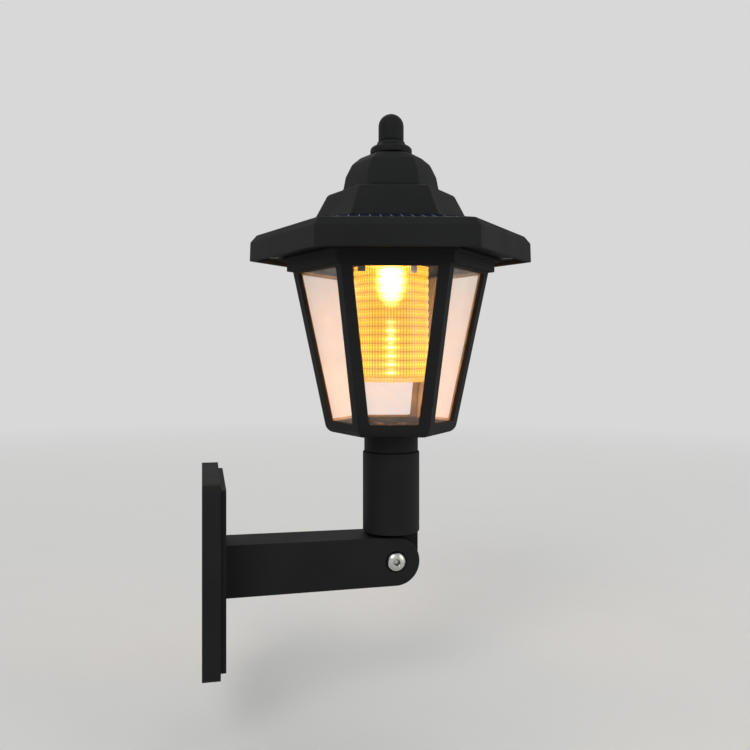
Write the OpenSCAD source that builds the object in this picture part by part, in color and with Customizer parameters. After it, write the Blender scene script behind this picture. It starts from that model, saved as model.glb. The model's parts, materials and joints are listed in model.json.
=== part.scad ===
// Solar wall lantern on an elbow bracket.
// Origin: centre of the wall plate's back face. X points out of the wall, Z up. Millimetres.
// Heights inside the lantern count from the elbow's axis.

/* [Wall plate] */
// Width of the wall plate
plate_w = 72; // [66:1:90]
// Height of the wall plate
plate_h = 86; // [80:1:110]
// Depth of the plate's back step
step_depth = 8; // [7:0.5:12]
// Depth of the raised front beyond the back step
face_depth = 2.4; // [1.5:0.1:4]
// Inset of the raised front all round
face_inset = 3; // [2:0.5:4]
// Corner radius of the back step
plate_corner = 4; // [3.5:0.5:7]
// Wall of the plate
plate_wall = 2.4; // [1.8:0.1:3]
// Thickness of the ribs behind the plate and in the arm
rib_t = 1.6; // [1.2:0.1:2]
// Height of the plate's centre above the elbow's axis
plate_rise = 2; // [0:0.5:4]
// Distance between wall screws across the plate
screw_pitch_y = 50; // [46:1:52]
// Distance between wall screws up the plate
screw_pitch_z = 64; // [58:1:66]
// Bore of the wall screw holes
wall_hole_d = 4.5; // [3.5:0.1:5]
// Width of the recess for a wall screw's head
wall_head_d = 9; // [8:0.1:9.6]

/* [Arm] */
// Distance from the wall to the elbow's axis
reach = 92.3; // [86:0.1:130]
// Width of the arm
arm_w = 22; // [20:0.5:26]
// Height of the arm at the wall plate
arm_root_h = 24.7; // [23:0.1:30]
// Wall of the arm
arm_wall = 2.4; // [1.8:0.1:3]
// Depth of the arm's seat in the plate
arm_seat = 1.2; // [0.6:0.1:2]
// Distance between the screws that hold the arm
arm_screw_pitch = 13; // [12:0.5:15]

/* [Elbow] */
// Radius of the arm's round end
elbow_r = 11.8; // [11.4:0.1:13]
// Thickness of the stem's tongue
tongue_t = 8; // [6:0.5:9]
// Radius of the tongue's round end
tongue_r = 11; // [9.5:0.1:11.2]
// Thickness of one friction washer
washer_t = 0.8; // [0.5:0.1:1]
// Diameter of a friction washer
washer_d = 18; // [13:0.5:20]
// Thread diameter of the elbow bolt
bolt_d = 5; // [4:0.5:6]
// Diameter of the bolt's head
bolt_head_d = 9.5; // [9:0.1:11]
// Height of the bolt's head
bolt_head_h = 2.75; // [2.4:0.05:3.3]
// Width across flats of the bolt's socket
socket_af = 3; // [2.5:0.5:4]
// Depth of the recess under the bolt's head
bolt_recess = 1; // [0.6:0.1:1.6]
// Width across flats of the nut
nut_af = 8; // [8:0.5:10]
// Thickness of the nut
nut_t = 2.7; // [2.4:0.1:3]

/* [Stem] */
// Diameter of the stem tube
stem_d = 28.2; // [27.6:0.1:34]
// Length of the stem tube
stem_len = 39.5; // [35:0.5:60]
// Gap between the stem tube and the arm's round end
stem_gap = 1.45; // [1.2:0.05:3]
// Diameter of the neck's lower part in the stem
spigot_d = 25; // [23:0.1:25.2]
// Length of the neck's lower part
spigot_len = 25; // [18:0.5:28]
// Radial running clearance of turning fits
fit_gap = 0.05; // [0.02:0.01:0.09]
// Gap between faces that slide past each other
face_gap = 0.3; // [0.25:0.05:0.4]

/* [Lantern] */
// Turn of the lantern in its stem, seen from above
head_turn = -11; // [-180:1:180]
// Diameter of the neck
neck_d = 26.8; // [26:0.1:27.8]
// Height of the neck between the stem and the cage
neck_h = 9.25; // [8:0.25:14]
// Wall of the neck
neck_wall = 2; // [1.6:0.1:2.4]
// Corner radius of the cage where its sides would meet its bottom
cage_bottom_r = 32; // [31:0.5:36]
// Corner radius of the cage at the collar
cage_top_r = 49; // [48:0.5:50]
// Height of the cage up to the collar
cage_h = 80; // [70:1:110]
// Rounding of the cage's bottom edge
cage_round = 5; // [2:0.5:6]
// Wall of the cage
cage_wall = 2.2; // [1.8:0.1:2.6]
// Thickness of the cage's floor
floor_t = 2.5; // [2:0.1:3]
// Width of a post on each side of its corner
post_w = 5.1; // [4:0.1:6.5]
// Height of the window's sill above the cage's bottom
sill_h = 6.2; // [5.6:0.1:9]
// Depth of the head rail below the collar
head_rail = 1.1; // [0.6:0.1:3]
// Thickness of a pane
pane_t = 1.4; // [1:0.1:2]
// Overlap of a pane behind its frame, above and below
pane_lap = 1.4; // [1:0.1:1.5]

/* [Collar] */
// Corner radius of the collar
collar_r = 52; // [51.5:0.1:53]
// Height of the collar below its lip
collar_h = 5; // [4.6:0.1:7]
// Corner radius of the collar's lip
lip_r = 54.5; // [53.5:0.1:55]
// Thickness of the collar's lip
lip_t = 1.7; // [1.4:0.1:2.4]
// Depth of the cage in the collar
cage_seat = 4; // [3.6:0.1:4.2]
// Radius of the cup that plugs into the collar
cup_r = 37; // [36.6:0.1:37.2]
// Reach of a bayonet lug beyond the cup
lug_reach = 3; // [2:0.1:3.1]
// Thickness of a bayonet lug
lug_t = 1.9; // [1.5:0.1:1.9]
// Angle that a bayonet lug covers
lug_angle = 12; // [8:1:14]
// Turn that frees the roof
unlock_angle = 20; // [16:1:24]
// Thickness of the rubber seal
seal_t = 0.7; // [0.5:0.1:0.9]

/* [Roof] */
// Corner radius of the brim's lower edge
brim_r = 70.5; // [70:0.5:76]
// Corner radius of the brim's upper edge
brim_top_r = 67; // [66.8:0.1:69]
// Height of the brim's rim
rim_h = 13; // [12.5:0.1:16]
// Depth of the roof's underside above the rim's lower edge
rim_recess = 2; // [1.8:0.1:2.4]
// Corner radius at the foot of the middle tier
tier_foot_r = 40; // [39.5:0.1:42]
// Rise of the brim's top up to the middle tier
brim_rise = 5; // [4.5:0.1:8]
// Corner radius at the shoulder of the middle tier
tier_shoulder_r = 31; // [30:0.5:34]
// Height of the middle tier
tier_h = 15; // [14:0.5:22]
// Corner radius at the foot of the dome
dome_foot_r = 23.5; // [22:0.5:26]
// Rise of the shoulder up to the dome
shoulder_rise = 2.5; // [1.5:0.1:4]
// Height of the dome
dome_h = 18; // [16:0.5:24]
// Corner radius of the dome's flat top
dome_top_r = 10; // [9:0.1:12]
// Wall of the roof
roof_wall = 2.3; // [2:0.1:2.4]
// Thickness of the plate that closes the roof
base_t = 2.4; // [2:0.1:2.6]
// Distance of the roof base's screws from the axis
base_screw_r = 58.5; // [58.2:0.1:59]

/* [Finial] */
// Radius of the finial's ring at its foot
ring_r = 10.4; // [9.5:0.1:11.5]
// Height of the finial's ring
ring_h = 6.25; // [5:0.25:8]
// Radius of the finial
finial_r = 6.3; // [5.5:0.1:7]
// Height of the finial
finial_h = 14; // [13:0.5:18]

/* [Solar panels] */
// Thickness of a solar panel
panel_t = 1.2; // [1:0.1:1.3]
// Margin between a panel and the brim's outer edge
panel_outer_margin = 2.4; // [2:0.1:4]
// Margin between a panel and the middle tier
panel_inner_margin = 2.4; // [2:0.1:4]
// Margin between a panel and the brim's ridges
panel_side_margin = 2.6; // [2:0.1:4]

/* [Lens] */
// Radius of the ribbed lens
lens_r = 18.75; // [18:0.05:19]
// Length of the lens below the roof's cup
lens_len = 56.3; // [45:0.1:62]
// Wall of the lens
lens_wall = 2; // [1.6:0.1:2.2]
// Distance from one rib of the lens to the next
lens_pitch = 4.1; // [3.5:0.1:5]
// Depth of the ribs
lens_rib = 0.45; // [0.2:0.05:0.6]

/* [Electrics] */
// Diameter of the lamp
led_d = 5; // [3:1:5]
// Depth of the lamp's tip below the roof's cup
led_drop = 12.5; // [11.5:0.5:15]
// Diameter of the battery
cell_d = 10.5; // [9.5:0.1:10.5]
// Length of the battery
cell_len = 44.5; // [40:0.5:44.5]
// Thickness of the circuit board
board_t = 1.6; // [1:0.1:1.6]
// Travel of the switch knob
switch_travel = 2.5; // [2:0.1:3]
// Length of the switch knob along its travel
knob_w = 3.6; // [3:0.1:4]
// Depth of the switch knob below the roof's cup
knob_drop = 3.8; // [2:0.1:4.5]
// Diameter of the light sensor
sensor_d = 3; // [3:0.1:4]
// Depth of the light sensor below the roof's cup
sensor_drop = 4.9; // [3:0.1:6]
// Diameter of the wires
wire_d = 1.2; // [0.8:0.1:1.4]

/* [Hidden] */
$fn = 96;
cos30 = cos(30);
tan30 = tan(30);
// How far a cut runs past the solid, and how far joined shapes run into each other
over = 1;
sink = 1;
eps = 0.01;

// Colours
black = "#26282a";
clear = "#dfe6e4";
steel = "#c9ccc8";
black_steel = "#262728";
white = "#ececE6";
rubber = "#1c1c1c";
panel_blue = "#1b2038";
cell_green = "#2f7d4f";
board_green = "#2d6b3c";
amber = "#ffd070";
resin_grey = "#8f9698";
switch_grey = "#30343a";
wire_red = "#b03028";

// Wall plate and arm
plate_t = step_depth + face_depth;
pocket_corner = 1.6;
face_corner = plate_corner - 1;
boss_wall = 1.2;
pad_margin = 2.6;
arm_x0 = plate_t - arm_seat;
arm_root_wall = 3.6;
arm_rib_setback = 4;

// Elbow
side_play = 0.15;
slot_w = tongue_t + 2 * washer_t + 2 * side_play;
slot_back = tongue_r + 1.6;
bolt_len = arm_w - 2 * bolt_recess;
bolt_seat_y = -arm_w / 2 + bolt_recess;
nut_seat_y = bolt_seat_y + bolt_len - nut_t;
bolt_play = 0.1;
nut_play = 0.05;

// Heights from the elbow's axis
stem_z0 = elbow_r + stem_gap;
stem_z1 = stem_z0 + stem_len;
stem_floor = 4.75;
neck_z0 = stem_z1 + face_gap;
cage_z0 = stem_z1 + neck_h;
collar_z0 = cage_z0 + cage_h;
web_z0 = collar_z0 + cage_seat;
cage_z1 = web_z0 - 0.1;
rim_z0 = collar_z0 + collar_h;
collar_z1 = rim_z0 + lip_t;
base_z0 = rim_z0 + rim_recess;
base_z1 = base_z0 + base_t;
brim_z = rim_z0 + rim_h;
tier_z0 = brim_z + brim_rise;
tier_z1 = tier_z0 + tier_h;
dome_z0 = tier_z1 + shoulder_rise;
dome_z1 = dome_z0 + dome_h;
finial_z0 = dome_z1 + ring_h;
cup_z0 = web_z0 - face_gap - lug_t;
cup_floor_t = 2;
cup_top = cup_z0 + cup_floor_t;
cup_wall = 2;

// Cage faces
side_slope = (cage_top_r - cage_bottom_r) / cage_h;
face_tilt = atan(side_slope * cos30);
window_z0 = cage_z0 + sill_h;
window_z1 = collar_z0 - head_rail;
pane_play = 0.03;
pane_side_gap = 0.15;

// Collar and bayonet, with the angles of the lugs when the roof is locked
lug_starts = [15, 135, 255];
lug_play = 1;
stop_angle = 3;
stop_play = 0.6;
cup_play = 0.35;
seal_r0 = cup_r + lug_reach + 1.2;
seal_r1 = seal_r0 + 3;
seal_play = 0.1;

// Roof
// Shares of the dome's inset and height at which its sides bend
dome_bends = [[0, 0], [0.09, 0.36], [0.31, 0.71], [0.61, 0.9], [1, 1]];
crown_profile = concat([[tier_foot_r, tier_z0], [tier_shoulder_r, tier_z1]],
    [for (b = dome_bends) [dome_foot_r - b[0] * (dome_foot_r - dome_top_r), dome_z0 + b[1] * dome_h]]);
roof_wall_step = [roof_wall, roof_wall];
rim_inner_r = brim_r - roof_wall / cos30;
rim_inner_top_r = brim_top_r - roof_wall;
rim_inner_slope = (rim_inner_r - rim_inner_top_r) / (brim_z - roof_wall - rim_z0);
base_r = rim_inner_r - rim_inner_slope * (base_z1 - rim_z0) - 0.3;
brim_slope = brim_rise / (brim_top_r - tier_foot_r);
brim_tilt = atan(brim_slope / cos30);
brim_slope_len = (brim_top_r - tier_foot_r) * cos30 / cos(brim_tilt);
panel_play = 0.2;
finial_edge = 1;

// Inside the roof, as places in the lantern's own frame
lens_play = 0.2;
lens_flange_t = 1.8;
lens_flange_r = lens_r + 1.75;
reflector_z0 = cup_top + lens_flange_t;
reflector_t = 1.6;
reflector_r = lens_flange_r + 0.5;
reflector_screw_x = reflector_r + 2.2;
ear_w = 6;
board_rise = 6.2;
board_z0 = cup_top + board_rise;
board_z1 = board_z0 + board_t;
board_x = 22;
board_y0 = -27;
board_y1 = 14;
front_post_x = 18.5;
front_post_y = -14.5;
back_post_x = 20.4;
back_post_y = 11.5;
led_len = 8.7;
led_flange_t = 1;
led_flange_w = 0.4;
led_flange_z1 = cup_z0 - led_drop + led_len;
leg_pitch = 2.54;
leg_t = 0.5;
knob_x = -15;
knob_y = -24.6;
knob_t = 2.2;
knob_play = 0.3;
knob_head_t = 1.5;
slider_l = knob_w + switch_travel + 2 * knob_play;
sensor_x = 9.5;
sensor_y = -24.6;
sensor_play = 0.1;
holder_y0 = board_y1 + 1;
holder_wall = 1.75;
holder_end = 3;
cell_play = 0.25;
cell_y = holder_y0 + holder_wall + cell_d / 2;
cell_z = base_z1 + 1.35 + cell_d / 2;
spring_len = 2.35;
contact_t = 0.4;
contact_h = 6;
contact_x0 = -cell_len / 2 - spring_len - contact_t;
contact_x1 = cell_len / 2;
contact_tab_y = holder_y0 - 0.8;

// Wires
lead_play = 0.3;
battery_lead_x = 15;
battery_lead_y = 11;
battery_lead_z = cell_z - 2;
panel_lead_x = 3;
panel_lead_y = -46;
panel_lead_pad_y = board_y0 + 4;
panel_lead_z = board_z1 + 3;

// Screws, each as shank diameter, length, head diameter and head height
arm_screw = [3, 16, 6.4, 2.2];
neck_screw = [2.5, 10, 5.4, 1.8];
base_screw = [2.5, 8, 5.4, 1.7];
finial_grip = 6;
finial_screw = [3.9, roof_wall + ring_h + finial_grip, 7.6, 2.3];
board_screw = [2, board_t + 3.4, 3.8, 1.4];
reflector_screw = [2, reflector_t + 2.7, 3.8, 1.3];
arm_screw_head_x = 4.7;
neck_screw_r = 7;
bore_spare = 0.5;
head_play = 0.4;

function thread_r(screw) = screw[0] / 2 + 0.02;
function hole_r(screw) = screw[0] / 2 + 0.3;
function boss_r(screw) = 1.1 * screw[0];
function cage_r_at(z) = cage_bottom_r + side_slope * (z - cage_z0);

module at_elbow() {
    translate([reach, 0, -plate_rise]) children();
}

module at_lantern() {
    at_elbow() rotate([0, 0, head_turn]) children();
}

// Lays a shape that is drawn along Z along Y
module bolt_axis() {
    rotate([-90, 0, 0]) children();
}

// Lays a shape that is drawn along Z along X
module along_x() {
    rotate([0, 90, 0]) children();
}

module hex_lathe(points) {
    rotate_extrude($fn = 6) polygon(points);
}

module hex_plate(r, z0, z1) {
    translate([0, 0, z0]) cylinder(r = r, h = z1 - z0, $fn = 6);
}

module disc(r, z0, z1) {
    translate([0, 0, z0]) cylinder(r = r, h = z1 - z0);
}

module slab(w, h, r) {
    square([w - 2 * r, h], center = true);
    square([w, h - 2 * r], center = true);
    for (y = [-1, 1], z = [-1, 1]) {
        translate([y * (w / 2 - r), z * (h / 2 - r)]) circle(r);
    }
}

// A flat outline in Y and Z, drawn out along X
module out_of_wall(x0, x1) {
    translate([x0, 0, 0]) rotate([90, 0, 90]) linear_extrude(x1 - x0) children();
}

module ring_sector(r0, r1, z0, z1, a0, a1) {
    reach_r = r1 / cos((a1 - a0) / 2) + over;
    intersection() {
        difference() {
            disc(r1, z0, z1);
            disc(r0, z0 - over, z1 + over);
        }
        translate([0, 0, z0 - over]) linear_extrude(z1 - z0 + 2 * over)
            polygon([[0, 0], reach_r * [cos(a0), sin(a0)], reach_r * [cos(a1), sin(a1)]]);
    }
}

// A pan-head screw whose head sits on z = 0 and whose shank points down
module pan_screw(screw) {
    head_d = screw[2];
    rim = 0.6 * screw[3];
    translate([0, 0, -screw[1]]) cylinder(d = screw[0], h = screw[1] + eps);
    difference() {
        union() {
            cylinder(d = head_d, h = rim);
            translate([0, 0, rim - eps]) cylinder(d1 = head_d, d2 = 0.7 * head_d, h = screw[3] - rim);
        }
        for (a = [0, 90]) {
            rotate([0, 0, a]) translate([-0.3 * head_d, -0.07 * head_d, 0.75 * rim])
                cube([0.6 * head_d, 0.14 * head_d, screw[3]]);
        }
    }
}

// A wire through its points, with flat ends
module wire(points) {
    for (i = [0 : len(points) - 2]) {
        d = points[i + 1] - points[i];
        l = norm(d);
        translate(points[i]) rotate([0, acos(d[2] / l), atan2(d[1], d[0])])
            cylinder(d = wire_d, h = l, $fn = 24);
    }
    for (i = [1 : len(points) - 2]) {
        translate(points[i]) sphere(d = wire_d, $fn = 24);
    }
}

// Bracket

// Places a shape at each of the four wall screws, drawn along X
module wall_screw_places() {
    for (y = [-1, 1] * screw_pitch_y / 2, z = [-1, 1] * screw_pitch_z / 2) {
        translate([0, y, z]) along_x() children();
    }
}

// Places a shape at each of the two arm screws, drawn along X
module arm_screw_places() {
    for (z = [-1, 1] * arm_screw_pitch / 2) {
        translate([0, 0, z - plate_rise]) along_x() children();
    }
}

module wall_plate() {
    front_w = plate_w - 2 * face_inset;
    front_h = plate_h - 2 * face_inset;
    pad_w = arm_w + 2 * pad_margin;
    pad_h = arm_root_h + 2 * pad_margin;
    color(black) difference() {
        union() {
            difference() {
                union() {
                    out_of_wall(0, step_depth) slab(plate_w, plate_h, plate_corner);
                    out_of_wall(step_depth - eps, plate_t) slab(front_w, front_h, face_corner);
                }
                out_of_wall(-over, step_depth - plate_wall)
                    slab(plate_w - 2 * plate_wall, plate_h - 2 * plate_wall, pocket_corner);
                out_of_wall(-over, plate_t - plate_wall)
                    slab(front_w - 2 * plate_wall, front_h - 2 * plate_wall, pocket_corner);
            }
            intersection() {
                union() {
                    out_of_wall(sink, step_depth - sink)
                        slab(plate_w - plate_wall, plate_h - plate_wall, pocket_corner);
                    out_of_wall(sink, plate_t - sink)
                        slab(front_w - plate_wall, front_h - plate_wall, pocket_corner);
                }
                union() {
                    for (y = [-0.235, 0, 0.235] * plate_w) {
                        translate([0, y - rib_t / 2, -plate_h / 2]) cube([plate_t, rib_t, plate_h]);
                    }
                    for (z = [-0.34, -0.17, 0, 0.17, 0.34] * plate_h) {
                        translate([0, -plate_w / 2, z - rib_t / 2]) cube([plate_t, plate_w, rib_t]);
                    }
                }
            }
            wall_screw_places() cylinder(d = wall_head_d + 2 * boss_wall, h = plate_t - sink);
            translate([0, -pad_w / 2, -plate_rise - pad_h / 2]) cube([plate_t - sink, pad_w, pad_h]);
        }
        wall_screw_places() {
            disc(wall_hole_d / 2, -over, plate_t + over);
            disc(wall_head_d / 2, plate_t - face_depth, plate_t + over);
        }
        translate([arm_x0, -arm_w / 2, -plate_rise - arm_root_h / 2]) cube([plate_t, arm_w, arm_root_h]);
        arm_screw_places() {
            disc(hole_r(arm_screw), -over, plate_t + over);
            disc(arm_screw[2] / 2 + head_play, -over, arm_screw_head_x);
        }
    }
}

module arm() {
    root = arm_root_h / 2;
    cavity_x0 = plate_t + arm_root_wall;
    cavity_x1 = reach - slot_back - arm_wall;
    cavity_l = cavity_x1 - cavity_x0;
    rib_z0 = -plate_rise - root + arm_rib_setback;
    screw_tip_x = arm_screw_head_x + arm_screw[1];
    color(black) difference() {
        translate([0, 0, -plate_rise]) union() {
            translate([0, arm_w / 2, 0]) rotate([90, 0, 0]) linear_extrude(arm_w)
                polygon([[arm_x0, -root], [plate_t, -root], [reach, -elbow_r], [reach, elbow_r],
                    [plate_t, root], [arm_x0, root]]);
            translate([reach, -arm_w / 2, 0]) bolt_axis() cylinder(r = elbow_r, h = arm_w);
        }
        difference() {
            translate([cavity_x0, -arm_w / 2 + arm_wall, -plate_rise - root - over])
                cube([cavity_l, arm_w - 2 * arm_wall, root + over + elbow_r - arm_wall]);
            arm_screw_places() disc(boss_r(arm_screw), cavity_x0 - over, screw_tip_x + boss_r(arm_screw));
            for (x = [1, 2] * cavity_l / 3) {
                translate([cavity_x0 + x - rib_t / 2, -arm_w / 2, rib_z0]) cube([rib_t, arm_w, 2 * root]);
            }
        }
        translate([reach - slot_back, -slot_w / 2, -plate_rise - root - over])
            cube([slot_back + elbow_r + over, slot_w, 2 * (root + over)]);
        at_elbow() {
            bolt_axis() disc(bolt_d / 2 + bolt_play, -arm_w / 2 - over, arm_w / 2 + over);
            bolt_axis() disc(bolt_head_d / 2 + head_play, -arm_w / 2 - over, bolt_seat_y);
            translate([0, nut_seat_y, 0]) bolt_axis()
                cylinder(d = (nut_af + 2 * nut_play) / cos30, h = arm_w, $fn = 6);
        }
        arm_screw_places() disc(thread_r(arm_screw), arm_x0 - over, screw_tip_x + bore_spare);
    }
}

module arm_screws() {
    color(steel) arm_screw_places() translate([0, 0, arm_screw_head_x]) mirror([0, 0, 1]) pan_screw(arm_screw);
}

module elbow_bolt() {
    rim = 0.6;
    top_r = bolt_head_d / 4;
    head_r = bolt_head_d / 2;
    // The dome is a ball that passes through the head's rim and the edge of its flat top
    centre = (head_r ^ 2 + rim ^ 2 - top_r ^ 2 - bolt_head_h ^ 2) / (2 * (rim - bolt_head_h));
    color(steel) at_elbow() translate([0, bolt_seat_y, 0]) rotate([90, 0, 0]) {
        difference() {
            intersection() {
                cylinder(r = head_r, h = bolt_head_h);
                translate([0, 0, centre]) sphere(r = sqrt(head_r ^ 2 + (rim - centre) ^ 2));
            }
            translate([0, 0, 0.35 * bolt_head_h]) cylinder(d = socket_af / cos30, h = bolt_head_h, $fn = 6);
        }
        translate([0, 0, -bolt_len]) cylinder(d = bolt_d, h = bolt_len + eps);
    }
}

module elbow_nut() {
    color(steel) at_elbow() translate([0, nut_seat_y, 0]) bolt_axis() difference() {
        cylinder(d = nut_af / cos30, h = nut_t, $fn = 6);
        disc(thread_r([bolt_d]), -over, nut_t + over);
    }
}

module elbow_washers() {
    color(rubber) at_elbow() for (y = [-slot_w / 2, slot_w / 2 - washer_t]) {
        translate([0, y, 0]) bolt_axis() difference() {
            cylinder(d = washer_d, h = washer_t);
            disc(bolt_d / 2 + fit_gap, -over, washer_t + over);
        }
    }
}

// Stem

module stem_tube() {
    r = stem_d / 2;
    bore = spigot_d / 2 + fit_gap;
    edge = 0.5;
    color(black) at_elbow() difference() {
        union() {
            rotate_extrude() polygon([[0, stem_z0], [r - edge, stem_z0], [r, stem_z0 + edge],
                [r, stem_z1 - edge], [r - edge, stem_z1], [bore, stem_z1], [bore, stem_z0 + stem_floor],
                [0, stem_z0 + stem_floor]]);
            translate([0, -tongue_t / 2, 0]) bolt_axis() cylinder(r = tongue_r, h = tongue_t);
            translate([-tongue_r, -tongue_t / 2, 0]) cube([2 * tongue_r, tongue_t, stem_z0 + sink]);
        }
        bolt_axis() disc(bolt_d / 2 + fit_gap, -tongue_t, tongue_t);
    }
}

// Lantern

module neck_screw_places() {
    for (a = [30, 150, 270]) {
        rotate([0, 0, a]) translate([neck_screw_r, 0, 0]) children();
    }
}

module neck_spigot() {
    r = neck_d / 2;
    spigot_r = spigot_d / 2;
    bore = spigot_r - neck_wall;
    lead_in = 0.8;
    top_z0 = cage_z0 - 3;
    z0 = neck_z0 - spigot_len;
    bore_z0 = cage_z0 + floor_t - neck_screw[1] - bore_spare;
    color(black) at_lantern() difference() {
        union() {
            rotate_extrude() polygon([[bore, z0], [spigot_r - lead_in, z0], [spigot_r, z0 + lead_in],
                [spigot_r, neck_z0], [r, neck_z0], [r, cage_z0], [0, cage_z0], [0, top_z0], [bore, top_z0]]);
            neck_screw_places() disc(boss_r(neck_screw), bore_z0 - 2, top_z0 + sink);
        }
        neck_screw_places() disc(thread_r(neck_screw), bore_z0, cage_z0 + over);
    }
}

module neck_screws() {
    color(black_steel) at_lantern() neck_screw_places() translate([0, 0, cage_z0 + floor_t]) pan_screw(neck_screw);
}

module cage_frame() {
    inner = cage_wall / (cos(face_tilt) * cos30);
    floor_z = cage_z0 + floor_t;
    round_steps = 5;
    round_centre_r = cage_bottom_r - cage_round * (1 - side_slope);
    round_points = [for (i = [0 : round_steps])
        let (a = -90 + i * (90 - atan(side_slope)) / round_steps)
        [round_centre_r + cage_round * cos(a), cage_z0 + cage_round * (1 + sin(a))]];
    window_half0 = cage_r_at(window_z0) / 2 - post_w;
    window_half1 = cage_r_at(window_z1) / 2 - post_w;
    color(black) at_lantern() difference() {
        hex_lathe(concat([[0, cage_z0]], round_points, [[cage_r_at(cage_z1), cage_z1], [0, cage_z1]]));
        hex_lathe([[0, floor_z], [cage_r_at(floor_z) - inner, floor_z],
            [cage_r_at(cage_z1 + over) - inner, cage_z1 + over], [0, cage_z1 + over]]);
        for (a = [30 : 60 : 330]) {
            rotate([0, 0, a]) out_of_wall(cage_bottom_r / 2, cage_top_r + over)
                polygon([[-window_half0, window_z0], [window_half0, window_z0], [window_half1, window_z1],
                    [-window_half1, window_z1]]);
        }
        neck_screw_places() disc(hole_r(neck_screw), cage_z0 - over, floor_z + over);
    }
}

// One pane, flat against the inside of face number k
module pane(k) {
    front = cage_wall + pane_play;
    back = front + pane_t;
    apothem = cage_bottom_r * cos30;
    v0 = (sill_h - pane_lap) / cos(face_tilt);
    v1 = (window_z1 + pane_lap - cage_z0) / cos(face_tilt) - back * tan(face_tilt);
    half0 = (apothem + v0 * sin(face_tilt) - back / cos(face_tilt)) * tan30 - pane_side_gap;
    half1 = (apothem + v1 * sin(face_tilt) - back / cos(face_tilt)) * tan30 - pane_side_gap;
    color(clear, 0.35) at_lantern() rotate([0, 0, 60 * k - 30]) translate([apothem, 0, cage_z0])
        rotate([0, face_tilt, 0]) out_of_wall(-back, -front)
            polygon([[-half0, v0], [half0, v0], [half1, v1], [-half1, v1]]);
}

module collar_ring() {
    opening = cup_r + cup_play;
    notch_r = opening + lug_reach;
    stop_r = notch_r - 0.1;
    pocket_r = cage_r_at(web_z0) + 0.3;
    unlocked = unlock_angle + lug_angle + lug_play;
    color(black) at_lantern() union() {
        difference() {
            union() {
                hex_plate(collar_r, collar_z0, collar_z1);
                hex_plate(lip_r, rim_z0, collar_z1);
            }
            hex_plate(pocket_r, collar_z0 - over, web_z0);
            disc(opening, collar_z0, collar_z1 + over);
            for (a = lug_starts) {
                ring_sector(opening - over, notch_r, web_z0 - over, collar_z1 + over,
                    a + unlock_angle - lug_play, a + unlocked);
            }
            difference() {
                disc(seal_r1, collar_z1 - seal_t, collar_z1 + over);
                disc(seal_r0, collar_z1 - seal_t - over, collar_z1 + 2 * over);
            }
        }
        // Stops that hang below the web at each end of a lug's travel
        for (a = lug_starts, b = [a - stop_angle - stop_play, a + unlocked + stop_play]) {
            ring_sector(opening, stop_r, cup_z0 + 0.2, web_z0 + sink / 2, b, b + stop_angle);
        }
    }
}

module roof_seal() {
    color(rubber) at_lantern() difference() {
        disc(seal_r1 - seal_play, collar_z1 - seal_t, collar_z1);
        disc(seal_r0 + seal_play, collar_z1 - seal_t - over, collar_z1 + over);
    }
}

// Roof

// Places a shape at each of the roof base's screws, turned so that no seam lies under a ridge
module base_screw_places() {
    for (a = [0 : 60 : 300]) {
        rotate([0, 0, a]) translate([base_screw_r, 0, 0]) rotate([0, 0, 45]) children();
    }
}

// Places one side's flat outline on the sloping top of the brim: X down the slope, Y along the edge
module on_brim(k) {
    rotate([0, 0, 60 * k - 30]) translate([brim_top_r * cos30, 0, brim_z]) rotate([0, brim_tilt, 0]) children();
}

module panel_outline(grow) {
    x0 = -brim_slope_len + panel_inner_margin - grow;
    x1 = -panel_outer_margin + grow;
    half0 = (brim_top_r * cos30 + x0 * cos(brim_tilt)) * tan30 - panel_side_margin + grow;
    half1 = (brim_top_r * cos30 + x1 * cos(brim_tilt)) * tan30 - panel_side_margin + grow;
    polygon([[x0, -half0], [x1, -half1], [x1, half1], [x0, half0]]);
}

module panel_lead_places() {
    for (x = [-1, 1] * panel_lead_x) {
        translate([x, panel_lead_y, 0]) children();
    }
}

module roof_brim() {
    foot = [tier_foot_r, tier_z0];
    edge = [brim_top_r, brim_z];
    boss_edge_r = base_screw_r + boss_r(base_screw) / cos30;
    boss_z1 = brim_z + (brim_top_r - boss_edge_r) * brim_slope - roof_wall / 3;
    color(black) at_lantern() difference() {
        union() {
            hex_lathe([[brim_r, rim_z0], edge, foot, foot - roof_wall_step, edge - roof_wall_step,
                [rim_inner_r, rim_z0]]);
            base_screw_places() disc(boss_r(base_screw), base_z1, boss_z1);
        }
        for (k = [1 : 6]) {
            on_brim(k) translate([0, 0, -panel_t]) linear_extrude(panel_t + over) panel_outline(panel_play);
        }
        base_screw_places() disc(thread_r(base_screw), base_z1 - over, base_z0 + base_screw[1] + bore_spare);
        panel_lead_places() disc(wire_d / 2 + lead_play, base_z1, tier_z0 + over);
    }
}

module roof_crown() {
    inner = [for (i = [len(crown_profile) - 1 : -1 : 0]) crown_profile[i] - roof_wall_step];
    color(black) at_lantern() difference() {
        hex_lathe(concat(crown_profile, [[0, dome_z1], [0, dome_z1 - roof_wall]], inner));
        disc(hole_r(finial_screw), dome_z1 - 2 * roof_wall, dome_z1 + over);
    }
}

module solar_panel(k) {
    color(panel_blue) at_lantern() on_brim(k) translate([0, 0, -panel_t]) linear_extrude(panel_t)
        panel_outline(0);
}

module finial_ring() {
    bore = hole_r(finial_screw);
    foot = 0.8;
    crown_r = finial_r - 0.3;
    steps = 6;
    bulge = [for (i = [0 : steps]) let (a = 90 * i / steps)
        [crown_r + (ring_r - crown_r) * cos(a), dome_z1 + foot + (ring_h - foot) * sin(a)]];
    color(black) at_lantern() rotate_extrude()
        polygon(concat([[bore, dome_z1]], bulge, [[bore, finial_z0]]));
}

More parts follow.
